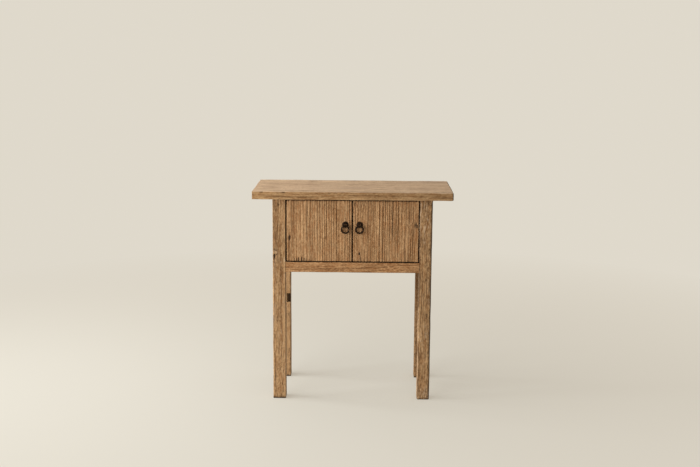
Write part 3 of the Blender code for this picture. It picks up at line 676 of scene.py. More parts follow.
def fold_notch(points, dark):
    """The old notch: inside its height, the corner of the leg is folded in.

    The places across the notch, as shares of its width and depth, change over, which turns the outer corner
    into an inner one. The notch is painted dark inside as shade, and less so at its far side.
    """
    across = (NOTCH_SIDE * points[:, X] - LEG_INNER) / NOTCH_WIDTH
    deep = (points[:, Y] - BACK_LEG_FRONT) / NOTCH_DEPTH
    from_middle = np.abs(points[:, Z] - NOTCH_FLOOR - NOTCH_HEIGHT / 2)
    inside = (across < 1.0) & (deep < 1.0) & (from_middle < NOTCH_HEIGHT / 2)
    folded = points.copy()
    folded[:, X] = NOTCH_SIDE * (LEG_INNER + NOTCH_WIDTH * (1.0 - np.clip(deep, 0.0, 1.0)))
    folded[:, Y] = BACK_LEG_FRONT + NOTCH_DEPTH * (1.0 - np.clip(across, 0.0, 1.0))
    # Painted shade inside the notch, lighter towards its far side
    shade = NOTCH_SHADE - NOTCH_SHADE_FADE * smooth_step(0.4, 1.0, 1.0 - deep)
    return np.where(inside[:, None], folded, points), np.where(inside, np.maximum(dark, shade), dark)


def turned_to(outward, axis, sign, flat, start, full):
    """How far a surface is turned to a face: 0 at one cosine, 1 at another, and only a share on the flat."""
    facing = sign * outward[:, axis]
    return smooth_step(start, full, facing) * (1.0 - (1.0 - flat) * smooth_step(*FLAT_TURN, facing))


def timber(name, cut, finish, box=None, body="carcass", notched=False):
    """One wooden piece: a worn block, pressed in square to its skin by grain, marks and a slow wave.

    Its colours hold groove, tone, dark marks with painted shade, and wear with painted light and sheen, which
    its material reads.
    """
    skin, faces, outward, on_edge = worn_block(*(box or visible_box(name)), cut)
    groove, tone = grain_relief(skin, cut)
    dark, hollow, bare = marks_of_age(skin, cut)
    wave = cut.wave * (cut.noise("face wave", *skin.T) - 1.0)
    points = skin + outward * (wave - cut.groove * groove - hollow)[:, None]
    dark = np.maximum(dark, cut.end_grain * smooth_step(*END_GRAIN_TURN, np.abs(outward[:, cut.grain])))
    # Painted shade on faces turned away from the light and on edges in the gaps between parts
    for axis, sign, amount, flat, start in cut.painted_shade:
        dark = np.maximum(dark, amount * turned_to(outward, axis, sign, flat, start, start + PAINTED_SHADE_TURN))
    if notched:
        points, dark = fold_notch(points, dark)
    rub = 0.62 + 0.5 * cut.noise("edge rub", *skin.T)
    wear = np.maximum(np.clip(cut.rub * on_edge * rub, 0.0, 1.0), 2.0 * bare)
    # Painted light and sheen on a lit face, with bleach on the top, carried in the wear colour
    for axis, sign, amount, flat in cut.bleach_and_light:
        wear = np.maximum(wear, amount * turned_to(outward, axis, sign, flat, *BLEACH_AND_LIGHT_TURN))
    piece = put_mesh(f"{name}_wood", points, faces, colours=np.stack([groove, tone, dark, wear], axis=-1))
    dress(piece, wood(finish, cut.grain), name, body)


def plug(tree, socket, value):
    """Links a socket to another one, or sets it to a value."""
    if isinstance(value, bpy.types.NodeSocket):
        tree.links.new(value, socket)
    else:
        socket.default_value = value


def node(tree, kind, settings=None, **inputs):
    """A shader node with its settings, and its inputs set from values or linked from sockets."""
    made = tree.nodes.new("ShaderNode" + kind)
    for key, value in (settings or {}).items():
        setattr(made, key, value)
    for key, value in inputs.items():
        plug(tree, made.inputs[key.replace("_", " ")], value)
    return made


def blend_colours(tree, share, one, other, how="MIX"):
    """Colour one where share is 0 and the other where it is 1."""
    made = node(tree, "Mix", {"data_type": "RGBA", "blend_type": how})
    for number, value in ((MIX_SHARE, share), (MIX_ONE, one), (MIX_OTHER, other)):
        plug(tree, made.inputs[number], value)
    return made.outputs[MIX_RESULT]


def calculate(tree, how, *values, clamp=False):
    """One step of arithmetic between sockets or numbers."""
    made = node(tree, "Math", {"operation": how, "use_clamp": clamp})
    for socket, value in zip(made.inputs, values):
        plug(tree, socket, value)
    return made.outputs["Value"]


def ranged(tree, value, low, high, to_low=0.0, to_high=1.0):
    """A socket's stretch from low to high, spread over another stretch and held at its ends."""
    made = node(tree, "MapRange", Value=value, From_Min=low, From_Max=high, To_Min=to_low, To_Max=to_high)
    return made.outputs["Result"]


def new_material(name):
    """An empty material with its tree, its Principled shader and the piece's own coordinates."""
    material = bpy.data.materials.new(name)
    material.use_nodes = True
    tree = material.node_tree
    shader = tree.nodes["Principled BSDF"]
    return material, tree, shader, node(tree, "TexCoord").outputs["Object"]


def finish_shader(tree, shader, colour, roughness, height, strength, depth):
    """Links a shader's colour and roughness, and raises its surface by a height."""
    bump = node(tree, "Bump", Strength=strength, Distance=depth, Height=height)
    links = {"Base Color": colour, "Roughness": roughness, "Normal": bump.outputs["Normal"]}
    for name, socket in links.items():
        tree.links.new(socket, shader.inputs[name])


def cloudy(tree, place, scale, detail, roughness=0.5):
    """Noise with so many waves to the metre and so many finer layers."""
    made = node(tree, "TexNoise", Vector=place, Scale=scale, Detail=detail, Roughness=roughness)
    return made.outputs["Fac"]


def stretched_noise(tree, place, grain, pattern):
    """Noise drawn out along the grain, by one of the fine patterns of wood."""
    across, along, detail = pattern
    scale = [across, across, across]
    scale[grain] = along
    mapped = node(tree, "Mapping", Vector=place, Scale=scale).outputs["Vector"]
    return cloudy(tree, mapped, 1.0, detail, 0.6)


def old_wood(name, grain, light, deep, ruddy, pore, soot_and_shade, worn, grey, grit, dullness, shine):
    """Old wood: tone between the rings, grey and warm patches, rubbed edges with painted light and sheen,
    fibres, pores, and dark marks with painted shade.
    """
    material, tree, shader, place = new_material(name)
    carved = node(tree, "Attribute", {"attribute_name": "grain"})
    parts = node(tree, "SeparateColor", Color=carved.outputs["Color"])
    groove, tone, dark = (parts.outputs[channel] for channel in ("Red", "Green", "Blue"))
    fibre = stretched_noise(tree, place, grain, FIBRES)
    thread = stretched_noise(tree, place, grain, THREADS)
    grains = stretched_noise(tree, place, grain, GRAINS)
    fleck = ranged(tree, stretched_noise(tree, place, grain, SHORT_PORES), 0.60, 0.72)
    blotch = ranged(tree, stretched_noise(tree, place, grain, BLOTCHES), 0.38, 0.72)
    warm = ranged(tree, stretched_noise(tree, place, grain, WARM_PATCHES), 0.46, 0.64)
    shift = calculate(tree, "MULTIPLY_ADD", thread, THREAD_CONTRAST, -THREAD_CONTRAST / 2)
    shift = calculate(tree, "ADD", shift, calculate(tree, "MULTIPLY_ADD", grains, grit, -grit / 2))
    level = calculate(tree, "ADD", tone, shift, clamp=True)
    colour = blend_colours(tree, level, deep, light)
    # The wear colour holds rubbed edges and bare wood, and painted light and sheen
    wear = carved.outputs["Alpha"]
    tints = ((blotch, GREY_SHARE, grey), (warm, RUDDY_SHARE, ruddy), (wear, WORN_SHARE, worn))
    for amount, most, tint in tints:
        colour = blend_colours(tree, calculate(tree, "MULTIPLY", amount, most), colour, tint)
    fine = ranged(tree, fibre, 0.25, 0.75, *FIBRE_CONTRAST)
    fine_colour = node(tree, "CombineColor", Red=fine, Green=fine, Blue=fine).outputs["Color"]
    colour = blend_colours(tree, 1.0, colour, fine_colour, "MULTIPLY")
    open_grain = calculate(tree, "MULTIPLY_ADD", fleck, PORE_SHARE, groove, clamp=True)
    colour = blend_colours(tree, open_grain, colour, pore)
    # Dark marks, and painted shade, in the sooty colour
    colour = blend_colours(tree, dark, colour, soot_and_shade)
    shader.inputs["Specular IOR Level"].default_value = shine
    dull = calculate(tree, "MULTIPLY_ADD", open_grain, 0.25, dullness)
    dull = calculate(tree, "MULTIPLY_ADD", fibre, 0.14, dull)
    raised = calculate(tree, "MULTIPLY_ADD", fleck, -0.6, fibre)
    finish_shader(tree, shader, colour, dull, raised, 0.35, 0.0007)
    return material


def turned_wood(name, light, deep):
    """Bare hardwood for the pins and the hidden spline: fine upright streaks and nothing carved."""
    material, tree, shader, place = new_material(name)
    streak = stretched_noise(tree, place, Z, PIN_STREAKS)
    colour = blend_colours(tree, ranged(tree, streak, 0.3, 0.7), deep, light)
    finish_shader(tree, shader, colour, ranged(tree, streak, 0.3, 0.7, 0.75, 0.55), streak, 0.3, 0.0004)
    return material


def forged_metal(name, bare, scale_colour, rust, rust_share, rough, metallic):
    """Forged metal: dents, dull patches of scale, and a little rust where the surface is pitted."""
    material, tree, shader, place = new_material(name)
    dents = cloudy(tree, place, 420.0, 3.0)
    pits = cloudy(tree, place, 1500.0, 5.0, 0.7)
    patches = ranged(tree, cloudy(tree, place, 190.0, 4.0), 0.42, 0.62)
    colour = blend_colours(tree, patches, bare, scale_colour)
    rusted = calculate(tree, "MULTIPLY", ranged(tree, pits, 0.55, 0.72), rust_share)
    colour = blend_colours(tree, rusted, colour, rust)
    shader.inputs["Metallic"].default_value = metallic
    shader.inputs["Specular IOR Level"].default_value = 0.2
    dull = ranged(tree, patches, 0.0, 1.0, rough, rough + 0.22)
    height = calculate(tree, "MULTIPLY_ADD", pits, 0.25, dents)
    finish_shader(tree, shader, colour, dull, height, 0.45, 0.0006)
    return material


def wood(finish, grain):
    """The wood of one finish with its grain along one axis, made once."""
    if (finish, grain) not in WOODS:
        WOODS[finish, grain] = old_wood(f"{finish}_wood_along_{AXIS_NAMES[grain]}", grain, **TONES[finish])
    return WOODS[finish, grain]


def make_top():
    """Two thick planks, tight where they meet, with a bleached upper face painted with sheen, a wavy worn
    front edge, and painted shade at the right end and over the right of the front edge.
    """
    # The upper face is painted pale with bleach and sheen, the right end with painted shade, and the left end
    # a little darker
    shared = dict(
        grain=X, across_step=0.0013, along_step=0.005, edge=0.0027, ring=0.0085, swirl=0.5, groove=0.00045,
        line=0.2, bold=0.74, wave=0.0005, end_grain=0.4, mottle=0.28, patchy=1.4, shade=0.07,
        foot_shade=-0.04, bleach_and_light=((Z, 1, 0.55, 1.0),), painted_shade=((X, 1, 0.78, 0.3, 0.1),),
    )
    mark_level = TOP_LEVEL - 0.008
    split_line = TOP_FRONT + 0.075
    edge_middle = (UNDERSIDE + TOP_LEVEL) / 2
    spot = Knot((-0.279, TOP_FRONT, TOP_LEVEL - 0.004), 0.0035, 1.5, 0.95, 0.0012)
    bruise = Knot((-0.372, TOP_FRONT, TOP_LEVEL - 0.0035), 0.0028, 2.2, 0.8, 0.0008)
    mark = Crack((0.147, TOP_FRONT, mark_level), (0.158, TOP_FRONT, mark_level), 0.0028, 0.0008, 0.6)
    split = Crack((-0.411, split_line, TOP_LEVEL), (-0.30, split_line, TOP_LEVEL), 0.0009, 0.002, 0.8)
    # A broad band of painted shade over the right part of the front edge, where less light falls
    right_edge_shade = Crack((0.16, TOP_FRONT, edge_middle), (0.72, TOP_FRONT, edge_middle), 0.022, 0.0, 0.14)
    front = Cut(
        pith=(-0.06, 0.70), seed=100, rounds=((Y, 1, TIGHT), (Z, 0, 0.0015), (X, 1, 0.007)),
        knots=(spot, bruise), cracks=(mark, split, right_edge_shade), **shared,
    )
    timber("top_board_front", front, "top")
    back = Cut(pith=(0.16, 0.76), seed=130, rounds=((Y, 0, TIGHT), (Z, 0, 0.0015), (X, 1, 0.006)), **shared)
    timber("top_board_back", back, "top")


def make_legs():
    """Four square posts with streaky grain, flecks, rubbed corners, feet darker at the bottom, and painted
    light and shade on some faces.
    """
    ends = ((Z, 1, TIGHT), (Z, 0, 0.002))
    shoulder = (0.0008, RAIL_LOW, LOWER_RAIL_TOP)
    shared = dict(
        grain=Z, edge=0.0040, rounds=ends, ring=0.0085, swirl=0.7, groove=0.0006, line=0.2, bold=0.56,
        even=0.3, whole=0.7, wave=0.0005, rub=0.7, specks=0.8, mottle=0.33, patchy=0.3, foot_dark=1.0,
    )
    front = shared | dict(across_step=0.0010, along_step=0.0045)
    back = shared | dict(across_step=0.0014, along_step=0.006)
    chips = (
        Chip((-LEG_OUTER, LEG_FRONT, 0.628), 0.0075, 0.0018),
        Chip((-0.3195, LEG_FRONT, 0.629), 0.0019, 0.0006, pale=0.9),
        Chip((-0.3118, LEG_FRONT, 0.6240), 0.0021, 0.0006, pale=0.9),
        Chip((-0.3120, LEG_FRONT, 0.6160), 0.0034, 0.0010, dark=0.85),
        Chip((-0.3200, LEG_FRONT, 0.6372), 0.0034, 0.0010, dark=0.75),
        Chip((-0.2785, LEG_FRONT, 0.5925), 0.0040, 0.0006, pale=0.8),
        Chip((-0.2800, LEG_FRONT, 0.6020), 0.0035, 0.0005, pale=0.5),
        Chip((-0.2945, LEG_FRONT, 0.5870), 0.0036, 0.0005, pale=0.5),
    )
    hole = Crack((-0.3200, LEG_FRONT, 0.6190), (-0.3203, LEG_FRONT, 0.5975), 0.0038, 0.005, 1.0)
    trail = Crack((-0.3203, LEG_FRONT, 0.6050), (-0.3205, LEG_FRONT, 0.5780), 0.0014, 0.001, 0.7)
    knots = (
        Knot((-0.3195, LEG_FRONT, 0.268), 0.0035, 3.2, 0.5, 0.0009),
        Knot((-0.3030, LEG_FRONT, 0.8235), 0.0034, 1.5, 0.85, 0.0009),
        Knot((-0.3160, LEG_FRONT, 0.8310), 0.0030, 1.3, 0.45, 0.0005),
    )
    # The left leg is painted lighter towards its foot
    front_left = dict(
        pith=(-0.20, -0.10), seed=200, rounds=((X, 1, 0.0028), (X, 1, *shoulder), *ends), specks=0.55,
        flecks=0.3, shade=0.04, foot_shade=0.22, chips=chips,
        shades=((-LEG_OUTER, 0.0), (-0.284, 0.0), (-0.277, 0.2)),
        cracks=(hole, trail), knots=knots, scuffs=(Scuff((-0.3150, LEG_FRONT, 0.629), 0.0100, 0.28, 0.8),),
    )
    wavy = tuple(Chip((LEG_INNER, FRONT_LEG_BACK, height), 0.016, 0.004) for height in (0.392, 0.437))
    blotches = (
        Knot((0.3100, LEG_FRONT, 0.8320), 0.0045, 1.4, 0.55, 0.0004),
        Knot((0.2985, LEG_FRONT, 0.8230), 0.0022, 3.4, 0.75, 0.0005),
    )
    # The right leg has painted shade on its right edge, painted light on its left side, and is painted
    # lighter towards its foot
    front_right = dict(
        pith=(0.52, -0.12), seed=230, ring=0.0098, uneven=0.45, bold=0.78, even=0.5, whole=0.8, flecks=0.6,
        rounds=((X, 1, 0.013), (X, 0, 0.0042), (X, 0, *shoulder), (Z, 1, TIGHT), (Z, 0, 0.005)), specks=0.6,
        shade=0.06, foot_shade=0.17, painted_shade=((X, 1, 0.62, 0.1, 0.2),), bleach_and_light=((X, -1, 1.3, 0.2),),
        chips=wavy, knots=blotches, scuffs=(Scuff((0.302, LEG_FRONT, 0.026), 0.040, 0.40, 0.4),),
    )
    notch_levels = (NOTCH_FLOOR, NOTCH_FLOOR + NOTCH_HEIGHT)
    rows = tuple(level + step * NOTCH_ROW for level in notch_levels for step in (-3, -1, 1, 3))
    # The back left leg is painted lighter, as lit; the back right one darker above and lighter below, as
    # painted shade under the cupboard
    back_left = dict(pith=(-0.36, 0.20), seed=260, shade=0.48, foot_shade=-0.10, extra_rows=rows)
    slim = ((X, 0, 0.0025), *ends)
    back_right = dict(pith=(0.37, 0.10), seed=290, shade=-0.42, foot_shade=0.42, rounds=slim)
    cuts = {
        "front_left": Cut(**front | front_left),
        "front_right": Cut(**front | front_right),
        "back_left": Cut(**back | back_left),
        "back_right": Cut(**back | back_right),
    }
    for place, cut in cuts.items():
        box = visible_box(f"leg_{place}", z=UNDER_TOP)
        timber(f"leg_{place}", cut, "leg", box, notched=place == "back_left")


def make_rails():
    """Rails between the legs: the front lower one shows, with painted shade on its upper and lower faces; the
    others are plainer.
    """
    # Painted shade on the front rail's upper face, below the doors' gap, and on its underside
    front = Cut(
        grain=X, pith=(-0.26, 0.52), seed=320, across_step=0.0010, along_step=0.004, edge=0.0022, ring=0.006,
        rounds=((X, 0, TIGHT), (X, 1, TIGHT)), swirl=0.6, groove=0.0005, line=0.2, bold=0.55, wave=0.0004,
        specks=0.4, mottle=0.27, patchy=0.4, shade=-0.03,
        painted_shade=((Z, 1, 0.95, 1.0, 0.45), (Z, -1, 0.85, 1.0, 0.45)),
    )
    low, high = visible_box("front_lower_rail", x=BETWEEN_LEGS, lap=RAIL_BITE)
    low[Y] = LEG_FRONT + RAIL_SETBACK
    timber("front_lower_rail", front, "rail", (low, high))
    places = ("back", "left", "right", "front")
    for number, (place, level) in enumerate(itertools.product(places, ("lower", "upper"))):
        if (place, level) == ("front", "lower"):
            continue
        grain = X if place in ("back", "front") else Y
        limits = {"x": BETWEEN_LEGS} if grain == X else {"y": BESIDE_LEGS}
        cut = Cut(
            grain=grain, pith=(0.2, 0.3 + 0.05 * number), seed=350 + SEED_STEP * number, edge=0.0025,
            rounds=((grain, 0, TIGHT), (grain, 1, TIGHT)), groove=0.0004,
        )
        timber(f"{place}_{level}_rail", cut, "rail", visible_box(f"{place}_{level}_rail", **limits))


def make_row(pattern, places, finish, cut, pith_step, **limits):
    """A row of like boards. Each one's pith lies a step further across, and its seed is a step further on."""
    for number, place in enumerate(places):
        name = pattern.format(place)
        pith = (cut.pith[0] + number * pith_step, cut.pith[1])
        board = replace(cut, pith=pith, seed=cut.seed + SEED_STEP * number)
        timber(name, board, finish, visible_box(name, lap=BOARD_LAPS.get(name, 0.0), **limits))


def make_panels():
    """Side panels, back boards, the cupboard's floor boards, the battens under the top and the door stop."""
    panel = Cut(Y, (0.25, 0.60), 600, 0.001, groove=0.0005)
    make_row("{}_side_panel", SIDES, "panel", panel, -0.5, y=BESIDE_LEGS, z=BETWEEN_RAILS)
    upright = Cut(Z, (-0.15, 0.23), 660, 0.001, groove=0.0003, wave=0.0001)
    across = ("left", "middle", "right")
    make_row("back_board_{}", across, "panel", upright, 0.24, x=BETWEEN_LEGS, z=BETWEEN_RAILS)
    flat = Cut(X, (-0.02, 0.50), 750, 0.001, groove=0.0004)
    make_row("floor_board_{}", ("front", "middle", "back"), "panel", flat, 0.1, x=BETWEEN_LEGS)
    make_row("top_batten_{}", SIDES, "rail", Cut(Y, (-0.15, 0.9), 840, 0.0015), 0.3)
    timber("door_stop", Cut(X, (-0.1, 0.9), 900, 0.001), "rail")


def make_doors():
    """Two planks with deep open grain: the left one calm near its hinge, the right one knotty at the top.
    Their edges and ends are painted with the shade of the gaps round them.
    """
    face = DOOR_FRONT
    # Painted shade on each door's side and lower edges, and fading in from its ends, as in the gaps round it
    shared = dict(
        grain=Z, across_step=0.00085, along_step=0.003, edge=0.002, ring=0.0103, uneven=0.34, drift=0.002,
        swirl=0.1, groove=0.0012, line=0.18, even=0.62, whole=0.82, run=0.26, rub=0.15, specks=0.3,
        mottle=0.36, end_shade=(0.75, 0.6),
        painted_shade=((X, -1, 0.92, 1.0, 0.45), (X, 1, 0.92, 1.0, 0.45), (Z, -1, 0.9, 1.0, 0.45)),
    )
    nicks = (
        Crack((x, face, DOOR_FOOT - length), (x, face, DOOR_FOOT + length), width, NICK_DEPTH, dark)
        for x, length, width, dark in LEFT_DOOR_NICKS
    )
    left_cracks = (
        *nicks,
        Crack((-0.2595, face, 0.684), (-0.2592, face, 0.645), 0.0011, 0.0016, 0.85),
        Crack((-0.1857, face, 0.806), (-0.1857, face, 0.776), 0.0012, 0.0012, 0.8),
        Crack((-0.0625, face, 0.650), (-0.0624, face, 0.611), 0.0013, 0.0014, 0.8),
    )
    left = Cut(
        pith=(-0.60, face + 0.06), seed=930, calm=((-0.221, 0.026, 0.5),), rounds=((X, 0, 0.004),),
        shades=((-0.27, -0.14), (-0.12, 0.13), (0.0, -0.08)), cracks=left_cracks,
        knots=(Knot((-0.2573, face, 0.688), 0.0036, 3.0, 1.3, 0.0018),), **shared,
    )
    right_knots = (
        Knot((0.039, face, 0.676), 0.008, 4.0, 0.0, 0.0),
        Knot((0.0291, face, 0.6231), 0.0040, 1.6, 1.3, 0.0012),
        Knot((0.2590, face, 0.7415), 0.0066, 1.4, 0.68, 0.0008),
        Knot((0.0120, face, 0.8270), 0.0050, 1.5, 0.40, 0.0004),
        Knot((0.0300, face, 0.8220), 0.0060, 1.4, 0.34, 0.0004),
        Knot((0.0470, face, 0.8290), 0.0045, 1.5, 0.38, 0.0004),
    )
    right_cracks = (
        Crack((0.0324, face, 0.617), (0.0326, face, 0.590), 0.0015, 0.0018, 0.95),
        Crack((0.1618, face, 0.824), (0.1637, face, 0.681), 0.0012, 0.0014, 0.85),
        Crack((0.1992, face, 0.811), (0.2002, face, 0.740), 0.0010, 0.0012, 0.75),
        Crack((0.2138, face, 0.686), (0.2152, face, 0.592), 0.0010, 0.0012, 0.75),
        Crack((0.2600, face, 0.756), (0.2590, face, 0.739), 0.0025, 0.0014, 1.0),
        Crack((0.2640, face, 0.746), (0.2645, face, 0.731), 0.0025, 0.0014, 1.0),
    )
    # The right door is painted darker, as less light reaches it
    right = Cut(
        pith=(-0.32, face + 0.06), seed=960, shade=-0.14, calm=((0.03, 0.03, 0.5), (0.0765, 0.005, 0.6)),
        shades=((0.0, -0.12), (0.10, 0.14), (0.27, -0.06)), rounds=((X, 1, 0.0015),), knots=right_knots,
        cracks=right_cracks, **shared,
    )
    for side, cut in (("left", left), ("right", right)):
        body = f"{side}_door"
        timber(f"{side}_door_plank", cut, "door", body=body)
        for number, level in enumerate(("upper", "lower")):
            batten = Cut(X, (-0.1, 0.4 + 0.2 * number), cut.seed + 100 + SEED_STEP * number, 0.002)
            timber(f"{side}_door_batten_{level}", batten, "panel", body=body)


def closed_grid(name, points, poles=()):
    """A mesh from a grid of points that closes on itself round each row.

    The last row joins the first one, or, where poles are given, the first row is closed by a fan of triangles
    to the first pole, and the last row by one to the second.
    """
    rows, columns = points.shape[:2]
    number = np.arange(rows * columns).reshape(rows, columns)
    if not poles:
        number = np.concatenate([number, number[:1]])
    number = np.concatenate([number, number[:, :1]], axis=1)
    quads = np.stack([number[:-1, :-1], number[:-1, 1:], number[1:, 1:], number[1:, :-1]], axis=-1)
    faces = [quads.reshape(-1, 4)]
    for place, row in enumerate((number[0, ::-1], number[-1])[:len(poles)]):
        pole = np.full(columns, rows * columns + place)
        faces.append(np.stack([row[:-1], row[1:], pole], axis=-1))
    return put_mesh(name, np.concatenate([points.reshape(-1, 3), np.reshape(poles, (-1, 3))]), *faces)


def forge(name, points, body, poles=()):
    """One iron piece of a pull, from its grid of points."""
    dress(closed_grid(f"{name}_iron", points, poles), IRON, name, body)


def box_of(node_name):
    """A solid's lower corner, upper corner and middle."""
    low, high = (np.array(corner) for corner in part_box(node_name))
    return low, high, (low + high) / 2


def make_rosette(side, seed):
    """A hammered domed washer: a closed outline of radius and height, turned about the axis of the eye.

    The height falls from bore to rim as a cosine to the power of 0.8, with a bead and a hollow near the rim.
    """
    low, high, middle = box_of(f"{side}_pull_rosette")
    radius, height = (high[X] - low[X]) / 2, high[Y] - low[Y]
    share = np.linspace(0.0, 1.0, ROSETTE_STEPS)
    rise = ROSETTE_RIM + (height - ROSETTE_RIM) * np.cos(share * math.pi / 2) ** 0.8
    for amount, place, reach in (ROSETTE_BEAD, ROSETTE_HOLLOW):
        rise += amount * bell((share - place) / reach)
    back = np.linspace(radius, ROSETTE_BORE, ROSETTE_BACK_STEPS)
    outline_radius = np.concatenate([ROSETTE_BORE + (radius - ROSETTE_BORE) * share, back])
    outline_height = np.concatenate([rise, np.zeros(len(back))])
    turn = np.linspace(2 * math.pi, 0.0, PULL_ROUND_STEPS, endpoint=False)
    spread, angle = np.meshgrid(outline_radius, turn, indexing="ij")
    out = np.repeat(outline_height[:, None], len(turn), axis=1)
    dent = smooth_noise(seed, spread * np.cos(angle) / DENT_SIZE, spread * np.sin(angle) / DENT_SIZE)
    out = np.where(out > 0.0, np.clip(out + DENT_DEPTH * (dent - 1.0), ROSETTE_LEAST, None), out)
    unround = smooth_noise(seed + 1, 3.0 * np.cos(angle), 3.0 * np.sin(angle))
    spread = spread * (1.0 + ROSETTE_UNROUND * (unround - 1.0))
    places = [middle[X] + spread * np.cos(angle), high[Y] - out, middle[Z] + spread * np.sin(angle)]
    forge(f"{side}_pull_rosette", np.stack(places, axis=-1), f"{side}_door")


def eye_path():
    """The eye's wire as distance out of the door and height: prong, bend, shank and loop, mirrored."""
    plank_low, plank_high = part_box("left_door_plank")
    behind = plank_high[Y] - plank_low[Y] + FIT + EYE_WIRE
    bend = np.linspace(0.0, math.pi / 2, BEND_STEPS)
    bend_out = EYE_BEND - behind - EYE_BEND * np.cos(bend)
    bend_up = EYE_SHANK_OFFSET + EYE_BEND - EYE_BEND * np.sin(bend)
    tip = np.linspace(EYE_SHANK_OFFSET + PRONG_LENGTH, bend_up[0], PRONG_STEPS)[:-1]
    opening = math.asin(EYE_SHANK_OFFSET / EYE_LOOP)
    shank = np.linspace(bend_out[-1], EYE_REACH - EYE_LOOP * math.cos(opening), SHANK_STEPS)[1:-1]
    turn = np.linspace(opening, 2 * math.pi - opening, LOOP_STEPS)
    half_out = np.concatenate([np.full(len(tip), -behind), bend_out, shank])
    half_up = np.concatenate([tip, bend_up, np.full(len(shank), EYE_SHANK_OFFSET)])
    out = np.concatenate([half_out, EYE_REACH - EYE_LOOP * np.cos(turn), half_out[::-1]])
    up = np.concatenate([half_up, EYE_LOOP * np.sin(turn), -half_up[::-1]])
    return out, up


def make_eye(side, seed):
    """The split pin: a round section, tapered to points at both ends, carried along the eye's path.

    The path lies in an upright plane square to the door, so the section's two directions are X and the path's
    own direction turned a quarter turn in that plane.
    """
    middle = box_of(f"{side}_pull_eye")[2]
    level = box_of(f"{side}_pull_rosette")[2][Z]
    out, up = eye_path()
    along_out, along_up = np.gradient(out), np.gradient(up)
    length = np.hypot(along_out, along_up)
    travel = np.concatenate([[0.0], np.cumsum(np.hypot(np.diff(out), np.diff(up)))])
    from_end = np.minimum(travel, travel[-1] - travel)
    thick = EYE_WIRE * (PRONG_POINT + (1.0 - PRONG_POINT) * smooth_step(0.0, PRONG_TAPER, from_end))
    thick = thick * (1.0 + WIRE_DENT * (smooth_noise(seed, travel / WIRE_DENT_LENGTH) - 1.0))
    turn = np.linspace(2 * math.pi, 0.0, WIRE_STEPS, endpoint=False)
    across = thick[:, None] * np.cos(turn)
    normal = (thick / length)[:, None] * np.sin(turn)
    outward = out[:, None] + normal * along_up[:, None]
    upward = up[:, None] - normal * along_out[:, None]
    points = np.stack([middle[X] + across, DOOR_FRONT - outward, level + upward], axis=-1)
    forge(f"{side}_pull_eye", points, f"{side}_door", tuple(points[[0, -1]].mean(axis=1)))


def make_ring(side, seed):
    """The forged ring: a torus whose wire swells and thins a little, worn slim where it hangs in the eye."""
    low, high, middle = box_of(f"{side}_pull_ring")
    wire = (high[Y] - low[Y]) / 2
    radius = (high[Z] - low[Z]) / 2 - wire
    around = np.linspace(0.0, 2 * math.pi, RING_STEPS, endpoint=False)
    turn = np.linspace(0.0, 2 * math.pi, WIRE_STEPS, endpoint=False)
    angle, section = np.meshgrid(around, turn, indexing="ij")
    ahead, above = np.cos(angle), np.sin(angle)
    swell = RING_SWELL + RING_UNEVEN * smooth_noise(seed, 2.2 * ahead + 9, 2.2 * above + 9)
    worn = RING_WORN * bell((angle - math.pi / 2) / RING_WORN_REACH)
    dent = WIRE_DENT * smooth_noise(seed + 1, 9 * ahead + 20, 9 * above + 20, 1.5 * np.cos(section) + 5)
    thick = wire * (1.0 + swell - worn + dent)
    spread = radius + thick * np.cos(section)
    places = [middle[X] + spread * ahead, middle[Y] + thick * np.sin(section), middle[Z] + spread * above]
    forge(f"{side}_pull_ring", np.stack(places, axis=-1), f"{side}_ring")


def finish_fasteners():
    """Finishes for the pieces that keep their solids: nails, screws, pivot pins and the spline."""
    pin = turned_wood("pin_wood", srgb(140, 104, 70), srgb(98, 70, 46))
    steel_colours = (srgb(150, 146, 140), srgb(118, 112, 106), srgb(112, 76, 50))
    steel = forged_metal("screw_steel", *steel_colours, 0.35, 0.35, 0.9)
    finishes = {"_nail_": IRON, "_screw_": steel, "_pivot_": pin, "top_spline": pin}
    for name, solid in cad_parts.items():
        for word, finish in finishes.items():
            if word in name:
                for slot in solid.material_slots:
                    slot.material = finish


def seen_directly(tree):
    """1 for rays from the eye, straight, mirrored or through glass, and 0 for rays that light the pieces."""
    path = node(tree, "LightPath").outputs
    seen = calculate(tree, "ADD", path["Is Camera Ray"], path["Is Glossy Ray"])
    return calculate(tree, "ADD", seen, path["Is Transmission Ray"], clamp=True)


